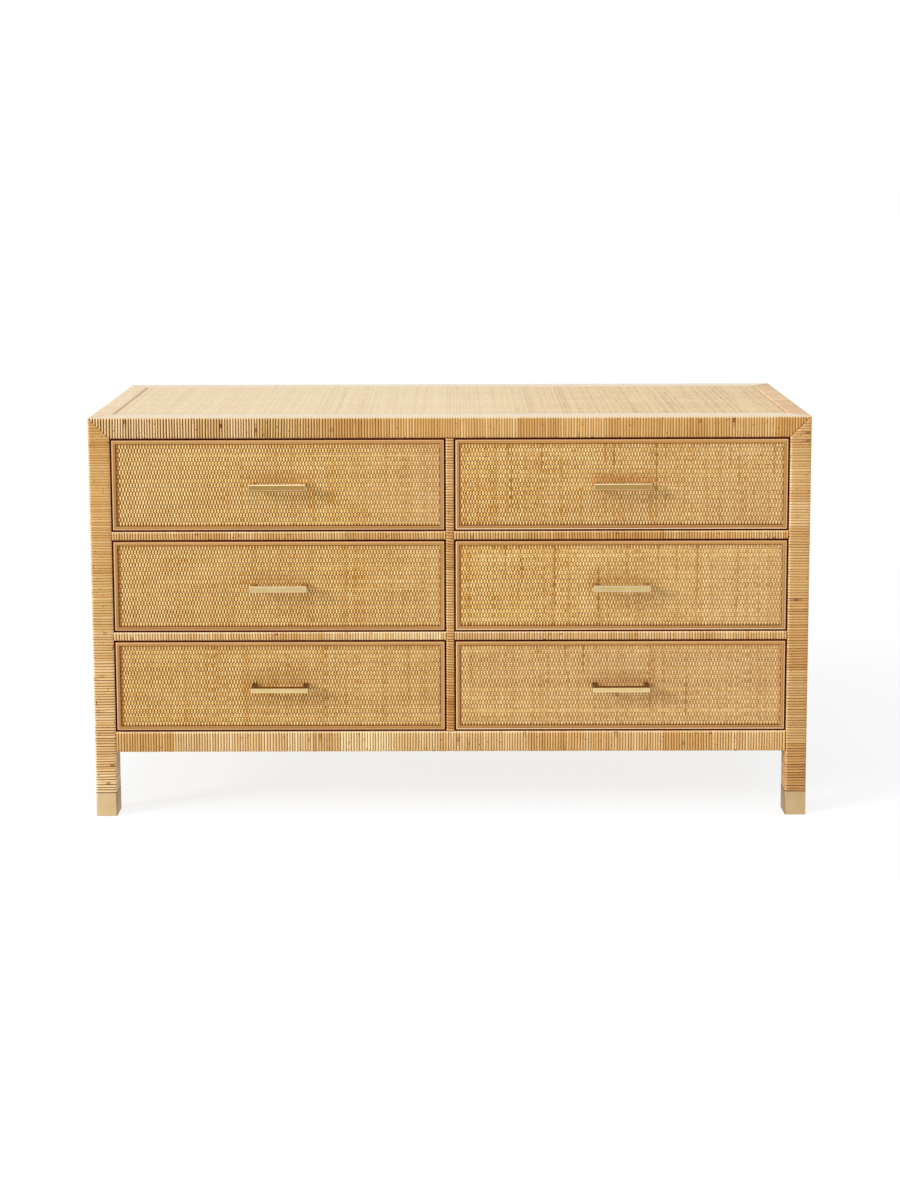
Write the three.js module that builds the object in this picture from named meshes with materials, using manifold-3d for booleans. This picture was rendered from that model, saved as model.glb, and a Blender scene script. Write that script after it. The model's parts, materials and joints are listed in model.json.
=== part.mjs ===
// A six-drawer dresser: a frame of square sticks bound with rattan peel, woven panels let into it,
// drawers that ride on dust boards, brass foot caps and brass bar pulls.
// Millimetres, +Z up, front towards -Y, origin on the floor in the middle of the whole outline.
import * as THREE from "three";
import { mergeVertices } from "three/addons/utils/BufferGeometryUtils.js";
import Module from "manifold-3d";

const wasm = await Module();
wasm.setup();

// ---- Driving dimensions ----
const WIDTH = 1524; // over the posts
const DEPTH = 483; // over the posts
const HEIGHT = 866; // floor to the top frame
const STICK = 45.5; // side of the square posts and frame rails, peel included
const STICK_ROUND = 4; // radius of a stick's long edges
const LEG_CLEAR = 140.5; // floor to the underside of the bottom rails
const ROWS = 3; // drawers in a column
const DIVIDER_H = 18; // height of the rails between drawers
const STILE_W = 17; // width of the upright between the columns
const SLIM_ROUND = 3; // radius of the long edges of the dividers and the stile
const JOINT_GAP = 0.3; // glue line between pieces that are fixed together

const PANEL_T = 12; // side and back panels
const PANEL_RECESS = 4; // from the frame's face to the panel's face
const PANEL_TONGUE = 8; // how far a panel enters its grooves

const TOP_PANEL_T = 15;
const TOP_PANEL_RECESS = 1.5;
const TOP_TONGUE = 6; // how far the top's tongue enters the rails
const TOP_TONGUE_T = 6;

const PARTITION_T = 17; // board between the two columns
const BOARD_T = 9; // dust boards and bottom board
const BOARD_TONGUE = 4; // how far a board's tongue enters its grooves
const BOARD_TONGUE_T = 4;
const GUIDE_H = 20; // guide strips beside the drawers, above the dust boards
const LEDGE_H = 22; // what a guide batten reaches down beside a dust board

const CAP_H = 52; // brass foot caps
const CAP_WALL = 1.5;
const CAP_FLOOR = 3;

const FRONT_GAP = 2.2; // shadow gap round a drawer front
const FRONT_SET = 0.8; // drawer fronts stand this far behind the frame's face
const FRONT_T = 20;
const TRIM_W = 9.5; // plain wooden trim round the woven field
const TRIM_ROUND = 2; // radius of the trim's outer front edge
const FIELD_RECESS = 3; // from the trim's face to the woven field

const SIDE_CLEAR = 3; // drawer box to the sides of its bay
const GUIDE_CLEAR = 1; // drawer box to the guide strips
const RIDE_CLEAR = 0.5; // drawer box to the dust board that it rides on
const STOP_CLEAR = 1; // closed drawer box to the back panel, which stops it
const BOX_H = 170;
const BOX_WALL = 14;
const BOX_FLOOR_T = 6;
const BOX_FLOOR_UP = 12; // box floor above the box's lower edge
const BOX_GROOVE = 6; // how far the box floor enters the walls

const PULL_L = 120;
const PULL_H = 12.7;
const PULL_BAR_T = 6;
const PULL_LEG_W = 10;
const PULL_STAND = 30; // from the woven field to the bar's outer face
const PULL_EDGE = 0.8; // softened edges
const SCREW_R = 2;
const SCREW_HOLE_R = 2.6;
const SCREW_HEAD_R = 4.5;
const SCREW_HEAD_T = 2.5;

const OVERCUT = 1; // how far a cutter runs past a face, or a joined part runs into one
const ARC_STEPS = 4; // facets in a rounded corner
const ROUND_SIDES = 16; // facets round a screw

// ---- Levels and lines worked out from them ----
const halfWidth = WIDTH / 2;
const halfDepth = DEPTH / 2;
const insideX = halfWidth - STICK; // inner faces of the posts
const insideY = halfDepth - STICK;
const apronTop = LEG_CLEAR + STICK;
const openingTop = HEIGHT - STICK;
const bayH = (openingTop - apronTop - (ROWS - 1) * DIVIDER_H) / ROWS;
const bayW = insideX - STILE_W / 2;
const bayMiddleX = (insideX + STILE_W / 2) / 2;
const bayBottom = (row) => openingTop - (row + 1) * bayH - row * DIVIDER_H;
const dividerSpan = (row) => [bayBottom(row) - DIVIDER_H, bayBottom(row)];
const backPanelInner = halfDepth - PANEL_RECESS - PANEL_T;
const sidePanelInner = halfWidth - PANEL_RECESS - PANEL_T;
const topPanelTop = HEIGHT - TOP_PANEL_RECESS;
const topPanelUnder = topPanelTop - TOP_PANEL_T;
const lapY = -halfDepth + STICK / 2; // where the dividers and the stile lap halfway
const bayHalf = bayW / 2;
const boxHalf = bayHalf - SIDE_CLEAR;
const outerGuideX = bayMiddleX + boxHalf + GUIDE_CLEAR; // faces of the guide strips
const innerGuideX = bayMiddleX - boxHalf - GUIDE_CLEAR;

// ---- Materials ----
const peel = new THREE.MeshStandardMaterial({ color: 0xd3ab6c, roughness: 0.55 });
const weave = new THREE.MeshStandardMaterial({ color: 0xd6b177, roughness: 0.6 });
const trimWood = new THREE.MeshStandardMaterial({ color: 0xcd9669, roughness: 0.5 });
const board = new THREE.MeshStandardMaterial({ color: 0xc9a878, roughness: 0.7 });
const brass = new THREE.MeshStandardMaterial({ color: 0xc9a662, roughness: 0.35, metalness: 1 });

// ---- Shape helpers ----

/** A closed geometry as a solid that can be joined and cut. */
function solidOf(geometry) {
  const bare = geometry.index ? geometry.toNonIndexed() : geometry.clone();
  bare.deleteAttribute("normal");
  bare.deleteAttribute("uv");
  const merged = mergeVertices(bare, 1e-4);
  const mesh = new wasm.Mesh({
    numProp: 3,
    vertProperties: new Float32Array(merged.attributes.position.array),
    triVerts: new Uint32Array(merged.index.array),
  });
  return new wasm.Manifold(mesh);
}

/** A solid as a geometry with flat faces. */
function geometryOf(solid) {
  const mesh = solid.getMesh();
  const positions = new Float32Array(mesh.numVert * 3);
  for (let i = 0; i < mesh.numVert; i++) {
    const from = i * mesh.numProp;
    positions.set(mesh.vertProperties.subarray(from, from + 3), i * 3);
  }
  const geometry = new THREE.BufferGeometry();
  geometry.setAttribute("position", new THREE.BufferAttribute(positions, 3));
  geometry.setIndex(new THREE.BufferAttribute(new Uint32Array(mesh.triVerts), 1));
  const flat = geometry.toNonIndexed();
  flat.computeVertexNormals();
  return flat;
}

const middle = (span) => (span[0] + span[1]) / 2;
const length = (span) => span[1] - span[0];
const centred = (size) => [-size / 2, size / 2];
const grown = (span, by) => [span[0] - by, span[1] + by];
const moved = (span, by) => [span[0] + by, span[1] + by];

/** A block that fills three [low, high] spans. */
function block(x, y, z) {
  const geometry = new THREE.BoxGeometry(length(x), length(y), length(z));
  geometry.translate(middle(x), middle(y), middle(z));
  return geometry;
}

/** A rectangle with rounded corners, as a Shape. */
function roundedOutline(a, b, radius) {
  const shape = new THREE.Shape();
  shape.moveTo(a[0] + radius, b[0]);
  shape.absarc(a[1] - radius, b[0] + radius, radius, -Math.PI / 2, 0);
  shape.absarc(a[1] - radius, b[1] - radius, radius, 0, Math.PI / 2);
  shape.absarc(a[0] + radius, b[1] - radius, radius, Math.PI / 2, Math.PI);
  shape.absarc(a[0] + radius, b[0] + radius, radius, Math.PI, 1.5 * Math.PI);
  return shape;
}

/** A straight stick with rounded long edges that fills three spans, its length along x, y or z. */
function stick(spans, axis, radius) {
  const along = "xyz".indexOf(axis);
  const a = (along + 1) % 3;
  const b = (along + 2) % 3;
  const geometry = new THREE.ExtrudeGeometry(roundedOutline(spans[a], spans[b], radius), {
    depth: length(spans[along]),
    bevelEnabled: false,
    curveSegments: ARC_STEPS,
  });
  const unit = [0, 1, 2].map((i) => new THREE.Vector3().setComponent(i, 1));
  geometry.applyMatrix4(new THREE.Matrix4().makeBasis(unit[a], unit[b], unit[along]));
  geometry.translate(...new THREE.Vector3().setComponent(along, spans[along][0]));
  return geometry;
}

/** Cuts away what lies beyond a plane, on the side its normal points to. */
function trimmedBeyond(solid, point, normal) {
  const reach = WIDTH + DEPTH + HEIGHT;
  const cutter = new THREE.BoxGeometry(reach, reach, reach);
  cutter.translate(0, 0, reach / 2);
  const turn = new THREE.Quaternion().setFromUnitVectors(new THREE.Vector3(0, 0, 1), normal);
  cutter.applyQuaternion(turn);
  cutter.translate(...point);
  return solid.subtract(solidOf(cutter));
}

/** Mitres one end of a stick at a top corner of the frame, where three sticks meet.
 *  `sideX` and `sideY` name the corner by sign; each stick keeps the part of the corner cube
 *  that lies further along its own direction than along the other two. */
function mitredAt(solid, sideX, sideY, axis) {
  const along = "xyz".indexOf(axis);
  const corner = new THREE.Vector3(sideX * halfWidth, sideY * halfDepth, HEIGHT);
  const inward = [
    new THREE.Vector3(-sideX, 0, 0),
    new THREE.Vector3(0, -sideY, 0),
    new THREE.Vector3(0, 0, -1),
  ];
  for (const other of [0, 1, 2]) {
    if (other === along) continue;
    const normal = inward[other].clone().sub(inward[along]).normalize();
    const point = corner.clone().addScaledVector(normal, -JOINT_GAP / 2);
    solid = trimmedBeyond(solid, point, normal);
  }
  return solid;
}

/** Cuts a list of closed geometries out of a solid. */
function cutOut(solid, cutters) {
  for (const one of cutters) solid = solid.subtract(solidOf(one));
  return solid;
}

/** Joins closed geometries into one solid. */
function joined(geometries) {
  return geometries.map(solidOf).reduce((whole, next) => whole.add(next));
}

/** A round bar along Y. */
function roundBar(x, y, radius) {
  const bar = new THREE.CylinderGeometry(radius, radius, length(y), ROUND_SIDES);
  bar.translate(x, middle(y), 0);
  return bar;
}

function addPiece(group, name, geometry, material) {
  const piece = new THREE.Mesh(geometry, material);
  piece.name = name;
  group.add(piece);
}

// ---- Panels and tongues let into the frame, and the grooves that hold them ----
const sidePanelSpans = [
  [-halfWidth + PANEL_RECESS, -sidePanelInner],
  grown([-insideY, insideY], PANEL_TONGUE),
  grown([apronTop, openingTop], PANEL_TONGUE),
];
const backPanelSpans = [
  grown([-insideX, insideX], PANEL_TONGUE),
  [backPanelInner, backPanelInner + PANEL_T],
  grown([apronTop, openingTop], PANEL_TONGUE),
];
const topTongueSpans = [
  grown([-insideX, insideX], TOP_TONGUE),
  grown([-insideY, insideY], TOP_TONGUE),
  [topPanelUnder + JOINT_GAP, topPanelUnder + JOINT_GAP + TOP_TONGUE_T],
];
const boardSpan = (top) => [top - BOARD_T, top];
const boardTongueSpan = (top) => moved(centred(BOARD_TONGUE_T), top - BOARD_T / 2);
const bottomTongueSpans = [
  grown([-insideX, insideX], BOARD_TONGUE),
  grown([-insideY, insideY], BOARD_TONGUE),
  boardTongueSpan(apronTop),
];
const grooveFor = (spans) => block(...spans.map((span) => grown(span, JOINT_GAP)));

/** The part of a dust board that enters the divider in front of it. Its `x` is the board's. */
const frontTongueSpans = (x, top) => [
  x,
  [-insideY - BOARD_TONGUE, -insideY + OVERCUT],
  boardTongueSpan(top),
];

/** The part of a dust board that enters the partition and the guide batten beside it. */
const sideTongueSpans = (x, top) => [
  grown(x, JOINT_GAP + BOARD_TONGUE),
  centred(2 * (insideY - JOINT_GAP)),
  boardTongueSpan(top),
];

/** Across a dust board: `side` is -1 for the left bay and 1 for the right one. */
function dustBoardX(side) {
  const near = PARTITION_T / 2 + JOINT_GAP;
  const far = outerGuideX - JOINT_GAP;
  return side < 0 ? [-far, -near] : [near, far];
}

// ---- Posts and foot caps ----
const postX = [-halfWidth, -insideX]; // posts and end rails are drawn on the left
const stickY = (sideY) => (sideY < 0 ? [-halfDepth, -insideY] : [insideY, halfDepth]);

/** A corner post. Its foot is thinner, to stand in the cap. */
function postGeometry(sideY) {
  const y = stickY(sideY);
  const shaft = solidOf(stick([postX, y, [CAP_H + JOINT_GAP, HEIGHT]], "z", STICK_ROUND));
  const skin = CAP_WALL + JOINT_GAP;
  const footSpans = [grown(postX, -skin), grown(y, -skin), [CAP_FLOOR + JOINT_GAP, CAP_H + OVERCUT]];
  const foot = solidOf(stick(footSpans, "z", Math.max(STICK_ROUND - skin, 1)));
  const grooves = [grooveFor(sidePanelSpans)];
  if (sideY > 0) grooves.push(grooveFor(backPanelSpans));
  return geometryOf(cutOut(mitredAt(shaft, -1, sideY, "z"), grooves).add(foot));
}

/** A brass cup over the foot of a post. */
function capGeometry(sideY) {
  const y = stickY(sideY);
  const outer = solidOf(stick([postX, y, [0, CAP_H]], "z", STICK_ROUND));
  const innerSpans = [grown(postX, -CAP_WALL), grown(y, -CAP_WALL), [CAP_FLOOR, CAP_H + OVERCUT]];
  const inner = stick(innerSpans, "z", Math.max(STICK_ROUND - CAP_WALL, 1));
  return geometryOf(cutOut(outer, [inner]));
}

// ---- Rails ----

function topRailAcross(sideY) {
  const spans = [[-halfWidth, halfWidth], stickY(sideY), [openingTop, HEIGHT]];
  let rail = solidOf(stick(spans, "x", STICK_ROUND));
  for (const sideX of [-1, 1]) rail = mitredAt(rail, sideX, sideY, "x");
  const grooves = [grooveFor(topTongueSpans)];
  if (sideY > 0) grooves.push(grooveFor(backPanelSpans));
  return geometryOf(cutOut(rail, grooves));
}

function topRailEnd() {
  const spans = [postX, [-halfDepth, halfDepth], [openingTop, HEIGHT]];
  let rail = solidOf(stick(spans, "y", STICK_ROUND));
  for (const sideY of [-1, 1]) rail = mitredAt(rail, -1, sideY, "y");
  return geometryOf(cutOut(rail, [grooveFor(topTongueSpans), grooveFor(sidePanelSpans)]));
}

function bottomRailAcross(sideY) {
  const x = centred(2 * (insideX - JOINT_GAP));
  const rail = solidOf(stick([x, stickY(sideY), [LEG_CLEAR, apronTop]], "x", STICK_ROUND));
  const grooves = [grooveFor(bottomTongueSpans)];
  if (sideY > 0) grooves.push(grooveFor(backPanelSpans));
  return geometryOf(cutOut(rail, grooves));
}

function bottomRailEnd() {
  const y = centred(2 * (insideY - JOINT_GAP));
  const rail = solidOf(stick([postX, y, [LEG_CLEAR, apronTop]], "y", STICK_ROUND));
  return geometryOf(cutOut(rail, [grooveFor(bottomTongueSpans), grooveFor(sidePanelSpans)]));
}

/** A rail between two rows of drawers. It passes behind the stile, halved over it. */
function dividerRail(row) {
  const z = dividerSpan(row);
  const x = centred(2 * (insideX - JOINT_GAP));
  const rail = solidOf(stick([x, [-halfDepth, -insideY], z], "x", SLIM_ROUND));
  const lap = block(
    centred(STILE_W + 2 * JOINT_GAP),
    [-halfDepth - OVERCUT, lapY + JOINT_GAP / 2],
    grown(z, OVERCUT),
  );
  const grooves = [-1, 1].map((side) =>
    grooveFor(frontTongueSpans(dustBoardX(side), bayBottom(row))),
  );
  return geometryOf(cutOut(rail, [lap, ...grooves]));
}

/** The upright between the columns, halved over the dividers. */
function stileGeometry() {
  const z = grown([apronTop, openingTop], -JOINT_GAP);
  const upright = solidOf(
    stick([centred(STILE_W), [-halfDepth, -insideY], z], "z", SLIM_ROUND),
  );
  const laps = [];
  for (let row = 0; row < ROWS - 1; row++) {
    const lapSpan = [lapY - JOINT_GAP / 2, -insideY + OVERCUT];
    laps.push(block(centred(STILE_W + OVERCUT), lapSpan, grown(dividerSpan(row), JOINT_GAP)));
  }
  return geometryOf(cutOut(upright, laps));
}

// ---- Panels and boards ----

function topPanelGeometry() {
  const x = centred(2 * (insideX - JOINT_GAP));
  const y = centred(2 * (insideY - JOINT_GAP));
  return geometryOf(joined([block(x, y, [topPanelUnder, topPanelTop]), block(...topTongueSpans)]));
}

/** A guide strip's height beside each row of drawers. */
const guideSpan = (row) => [bayBottom(row), bayBottom(row) + GUIDE_H];

/** The left end panel, with the battens that guide the drawers and hold the dust boards. */
function sidePanelGeometry() {
  const parts = [block(...sidePanelSpans)];
  const grooves = [];
  for (let row = 0; row < ROWS; row++) {
    const carriesBoard = row < ROWS - 1;
    const low = carriesBoard ? bayBottom(row) - LEDGE_H : bayBottom(row) + JOINT_GAP;
    parts.push(
      block(
        [-sidePanelInner - OVERCUT, -outerGuideX],
        centred(2 * (insideY - JOINT_GAP)),
        [low, guideSpan(row)[1]],
      ),
    );
    if (carriesBoard) grooves.push(grooveFor(sideTongueSpans(dustBoardX(-1), bayBottom(row))));
  }
  return geometryOf(cutOut(joined(parts), grooves));
}

/** The board between the columns: it stands behind the stile, on the bottom board and the bottom
 *  rail, reaches back to the back panel and up to the top panel, and has a guide strip for each
 *  drawer. */
function partitionGeometry() {
  const g = JOINT_GAP;
  const front = -insideY + g;
  const low = apronTop + g;
  const outline = new THREE.Shape();
  outline.moveTo(front, low);
  outline.lineTo(backPanelInner - g, low);
  outline.lineTo(backPanelInner - g, openingTop - g);
  outline.lineTo(insideY - g, openingTop - g);
  outline.lineTo(insideY - g, topPanelUnder - g);
  outline.lineTo(front, topPanelUnder - g);
  const slab = new THREE.ExtrudeGeometry(outline, { depth: PARTITION_T, bevelEnabled: false });
  slab.applyMatrix4(
    new THREE.Matrix4().makeBasis(
      new THREE.Vector3(0, 1, 0),
      new THREE.Vector3(0, 0, 1),
      new THREE.Vector3(1, 0, 0),
    ),
  );
  slab.translate(-PARTITION_T / 2, 0, 0);
  const parts = [slab];
  const grooves = [];
  for (let row = 0; row < ROWS; row++) {
    const z = [Math.max(guideSpan(row)[0], low), guideSpan(row)[1]];
    parts.push(block(centred(2 * innerGuideX), [front, backPanelInner - g], z));
    if (row === ROWS - 1) continue;
    for (const side of [-1, 1]) {
      grooves.push(grooveFor(sideTongueSpans(dustBoardX(side), bayBottom(row))));
    }
  }
  return geometryOf(cutOut(joined(parts), grooves));
}

/** The bottom board, held by tongues in all four bottom rails. */
function bottomBoardGeometry() {
  const x = centred(2 * (insideX - JOINT_GAP));
  const y = centred(2 * (insideY - JOINT_GAP));
  const [tongueX, tongueY, tongueZ] = bottomTongueSpans;
  return geometryOf(
    joined([block(x, y, boardSpan(apronTop)), block(tongueX, y, tongueZ), block(x, tongueY, tongueZ)]),
  );
}

/** A dust board under the drawer of an upper row: the drawer rides on it. */
function dustBoardGeometry(row, side) {
  const x = dustBoardX(side);
  const top = bayBottom(row);
  const y = [-insideY + JOINT_GAP, backPanelInner - JOINT_GAP];
  return geometryOf(
    joined([
      block(x, y, boardSpan(top)),
      block(...frontTongueSpans(x, top)),
      block(...sideTongueSpans(x, top)),
    ]),
  );
}

// ---- Drawers. Their own origin is the middle of the front, on the face of its trim. ----
const frontW = bayW - 2 * FRONT_GAP;
const frontH = bayH - 2 * FRONT_GAP;
const fieldW = frontW - 2 * TRIM_W;
const fieldH = frontH - 2 * TRIM_W;
const boxFrontY = FRONT_T + JOINT_GAP;
const boxBackY = backPanelInner + halfDepth - FRONT_SET - STOP_CLEAR;
const boxLowZ = -bayH / 2 + RIDE_CLEAR;
const boxSpans = [centred(2 * boxHalf), [boxFrontY, boxBackY], [boxLowZ, boxLowZ + BOX_H]];
const boxFloorSpans = [
  grown(centred(2 * (boxHalf - BOX_WALL)), BOX_GROOVE),
  grown([boxFrontY + BOX_WALL, boxBackY - BOX_WALL], BOX_GROOVE),
  [boxLowZ + BOX_FLOOR_UP, boxLowZ + BOX_FLOOR_UP + BOX_FLOOR_T],
];
const screwX = (PULL_L - PULL_LEG_W) / 2;
const screwHoles = (y) => [-screwX, screwX].map((x) => roundBar(x, grown(y, OVERCUT), SCREW_HOLE_R));

/** The mitred wooden trim round a drawer front, its outer front edge rounded. */
function frontFrameGeometry() {
  const r = TRIM_ROUND;
  const slab = new THREE.ExtrudeGeometry(
    roundedOutline(centred(frontW - 2 * r), centred(frontH - 2 * r), r),
    {
      depth: FRONT_T - r,
      curveSegments: 1,
      bevelThickness: r,
      bevelSize: r,
      bevelSegments: ARC_STEPS - 1,
    },
  );
  slab.rotateX(Math.PI / 2);
  slab.translate(0, FRONT_T, 0);
  const back = block(centred(2 * frontW), [FRONT_T, 2 * FRONT_T], centred(2 * frontH));
  const hole = block(centred(fieldW), [-OVERCUT, FRONT_T + OVERCUT], centred(fieldH));
  return geometryOf(cutOut(solidOf(slab), [back, hole]));
}

/** The woven panel inside the trim, drilled for the pull's screws. */
function frontPanelGeometry() {
  const y = [FIELD_RECESS, FRONT_T];
  const slab = block(grown(centred(fieldW), -JOINT_GAP), y, grown(centred(fieldH), -JOINT_GAP));
  return geometryOf(cutOut(solidOf(slab), screwHoles(y)));
}

/** Front, sides and back of the box as glued up, grooved for the floor. */
function drawerBoxGeometry() {
  const [x, y, z] = boxSpans;
  const space = block(grown(x, -BOX_WALL), grown(y, -BOX_WALL), grown(z, OVERCUT));
  const cutters = [space, grooveFor(boxFloorSpans), ...screwHoles([y[0], y[0] + BOX_WALL])];
  return geometryOf(cutOut(solidOf(block(x, y, z)), cutters));
}

const drawerFloorGeometry = () => block(...boxFloorSpans);

/** A brass bar on two legs, with its screws through the front and the box. */
function pullGeometry() {
  const face = FIELD_RECESS - PULL_STAND;
  const seat = FIELD_RECESS - JOINT_GAP;
  const e = PULL_EDGE;
  const end = PULL_L / 2 - e;
  const legInside = PULL_L / 2 - PULL_LEG_W + e;
  const barBack = face + PULL_BAR_T - e;
  const outline = new THREE.Shape();
  outline.moveTo(-end, face + e);
  outline.lineTo(end, face + e);
  outline.lineTo(end, seat - e);
  outline.lineTo(legInside, seat - e);
  outline.lineTo(legInside, barBack);
  outline.lineTo(-legInside, barBack);
  outline.lineTo(-legInside, seat - e);
  outline.lineTo(-end, seat - e);
  const bar = new THREE.ExtrudeGeometry(outline, {
    depth: PULL_H - 2 * e,
    bevelThickness: e,
    bevelSize: e,
    bevelSegments: 1,
  });
  bar.translate(0, 0, -PULL_H / 2 + e);
  const headY = boxFrontY + BOX_WALL + JOINT_GAP;
  const screws = [-screwX, screwX].flatMap((x) => [
    roundBar(x, [barBack, headY + OVERCUT], SCREW_R),
    roundBar(x, [headY, headY + SCREW_HEAD_T], SCREW_HEAD_R),
  ]);
  return geometryOf(joined([bar, ...screws]));
}

// ---- Assembly ----
const dresser = new THREE.Group();

// Both ends of the dresser: the right one is the left one mirrored.
const endPieces = [
  ["post_front", postGeometry(-1), peel],
  ["post_back", postGeometry(1), peel],
  ["foot_cap_front", capGeometry(-1), brass],
  ["foot_cap_back", capGeometry(1), brass],
  ["top_rail", topRailEnd(), peel],
  ["bottom_rail", bottomRailEnd(), peel],
  ["side_panel", sidePanelGeometry(), weave],
];
for (const [side, mirror] of [["left", 1], ["right", -1]]) {
  const end = new THREE.Group();
  end.scale.x = mirror;
  for (const [name, geometry, material] of endPieces) {
    addPiece(end, `${name}_${side}`, geometry, material);
  }
  dresser.add(end);
}

addPiece(dresser, "top_rail_front", topRailAcross(-1), peel);
addPiece(dresser, "top_rail_back", topRailAcross(1), peel);
addPiece(dresser, "bottom_rail_front", bottomRailAcross(-1), peel);
addPiece(dresser, "bottom_rail_back", bottomRailAcross(1), peel);
addPiece(dresser, "stile", stileGeometry(), peel);
addPiece(dresser, "divider_rail_upper", dividerRail(0), peel);
addPiece(dresser, "divider_rail_lower", dividerRail(1), peel);
addPiece(dresser, "partition", partitionGeometry(), board);
addPiece(dresser, "top_panel", topPanelGeometry(), weave);
addPiece(dresser, "back_panel", block(...backPanelSpans), board);
addPiece(dresser, "bottom_board", bottomBoardGeometry(), board);
for (const [row, level] of ["upper", "lower"].entries()) {
  addPiece(dresser, `dust_board_${level}_left`, dustBoardGeometry(row, -1), board);
  addPiece(dresser, `dust_board_${level}_right`, dustBoardGeometry(row, 1), board);
}

// Six drawers.
const drawerPieces = [
  ["front_frame", frontFrameGeometry(), trimWood],
  ["front_panel", frontPanelGeometry(), weave],
  ["drawer_box", drawerBoxGeometry(), board],
  ["drawer_floor", drawerFloorGeometry(), board],
  ["pull", pullGeometry(), brass],
];
for (const [row, level] of ["upper", "middle", "lower"].entries()) {
  for (const [side, sign] of [["left", -1], ["right", 1]]) {
    const drawer = new THREE.Group();
    drawer.position.set(sign * bayMiddleX, -halfDepth + FRONT_SET, bayBottom(row) + bayH / 2);
    for (const [name, geometry, material] of drawerPieces) {
      addPiece(drawer, `${name}_${level}_${side}`, geometry, material);
    }
    dresser.add(drawer);
  }
}

// The pulls stand out in front, so the frame moves back to leave the origin in the middle.
const pullReach = PULL_STAND - FIELD_RECESS - FRONT_SET;
dresser.position.y = pullReach / 2;

export default dresser;
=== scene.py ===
# %% [markdown]
# # A dresser bound in rattan
# The real piece is a wooden frame of square sticks. Thin rattan peel is wound round every stick,
# sheets of fine weave cover the top, the ends and the drawer fronts, and the feet and pulls are
# brass. This lesson dresses the imported construction model with those surfaces. First it loads the
# model, whose pieces already stand where they belong.

# %% Load the frame
import json
import math

import bmesh
import bpy
import numpy as np
from mathutils import Matrix, Vector

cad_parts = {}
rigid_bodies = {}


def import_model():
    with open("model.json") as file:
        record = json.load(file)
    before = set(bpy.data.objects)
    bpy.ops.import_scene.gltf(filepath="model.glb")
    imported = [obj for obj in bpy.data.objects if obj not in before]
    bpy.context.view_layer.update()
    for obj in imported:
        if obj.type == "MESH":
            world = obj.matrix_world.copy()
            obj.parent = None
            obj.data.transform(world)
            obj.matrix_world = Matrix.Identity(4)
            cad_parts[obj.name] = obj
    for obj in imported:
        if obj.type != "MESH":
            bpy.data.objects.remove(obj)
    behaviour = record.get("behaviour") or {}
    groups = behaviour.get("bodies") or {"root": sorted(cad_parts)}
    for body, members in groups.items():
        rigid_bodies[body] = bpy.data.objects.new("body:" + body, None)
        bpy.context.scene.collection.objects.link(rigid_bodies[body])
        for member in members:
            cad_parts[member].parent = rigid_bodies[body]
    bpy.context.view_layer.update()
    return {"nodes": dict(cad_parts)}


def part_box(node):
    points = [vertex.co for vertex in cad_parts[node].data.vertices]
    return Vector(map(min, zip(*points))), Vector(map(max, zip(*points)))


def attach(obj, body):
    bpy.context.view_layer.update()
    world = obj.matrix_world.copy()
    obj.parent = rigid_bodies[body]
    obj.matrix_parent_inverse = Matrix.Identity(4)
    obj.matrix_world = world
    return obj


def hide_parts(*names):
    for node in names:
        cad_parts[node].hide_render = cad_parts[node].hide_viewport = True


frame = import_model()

# %% [markdown]
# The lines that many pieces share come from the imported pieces, not from typed numbers: a post
# gives the stick's thickness and the frame's outer faces, and its neighbours give the rest.

# %% Lines of the frame
MM = 0.001
post_low, post_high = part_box("post_front_left")
back_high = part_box("post_back_right")[1]

STICK = post_high[0] - post_low[0]
HALF_WIDTH = back_high[0]
FRONT_Y, BACK_Y = post_low[1], back_high[1]
MIDDLE_Y = (FRONT_Y + BACK_Y) / 2
HALF_DEPTH = (BACK_Y - FRONT_Y) / 2
CAP_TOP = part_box("foot_cap_front_left")[1][2]
RAIL_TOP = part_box("bottom_rail_front")[1][2]
TOP_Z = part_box("top_rail_front")[1][2]
print("stick", round(STICK, 4), "half width", HALF_WIDTH, "front", FRONT_Y, "top", TOP_Z)

# %% [markdown]
# ## Camera
# The camera stands a little over three and a half metres from the middle of the dresser, at
# shoulder height, and looks slightly down. A vertical shift moves the dresser in the picture
# without tilting the camera more, so that the posts stay almost parallel.

# %% Camera
LENS_MM, SENSOR_MM, SHIFT = 49.02, 36, -0.25
CAMERA_PLACE = (0.010, MIDDLE_Y - 3.637, 1.425)
PAN, TILT, ROLL = (math.radians(angle) for angle in (0.14, -5.26, 0.18))


def new_object(name, data):
    """Puts a mesh, a camera or a lamp into the scene."""
    thing = bpy.data.objects.new(name, data)
    bpy.context.scene.collection.objects.link(thing)
    return thing


camera_data = bpy.data.cameras.new("camera")
camera_data.lens = LENS_MM
camera_data.sensor_width = SENSOR_MM
camera_data.shift_y = SHIFT
camera = new_object("camera", camera_data)
aim = Matrix.Rotation(PAN, 4, "Z") @ Matrix.Rotation(TILT, 4, "X") @ Matrix.Rotation(ROLL, 4, "Y")
level_view = Matrix.Rotation(math.pi / 2, 4, "X")
camera.matrix_world = Matrix.Translation(CAMERA_PLACE) @ aim @ level_view
bpy.context.scene.camera = camera
print("camera at", tuple(round(v, 3) for v in camera.location), "lens", camera_data.lens)

# %% [markdown]
# ## Node helpers
# A material is a graph of nodes. Small helpers keep the graphs short. The first ones turn an
# ordinary colour of 0 to 255 into the linear colour that the shader works with, make a material
# with its shader, and add a node whose inputs are plain values or other nodes' sockets.

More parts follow.
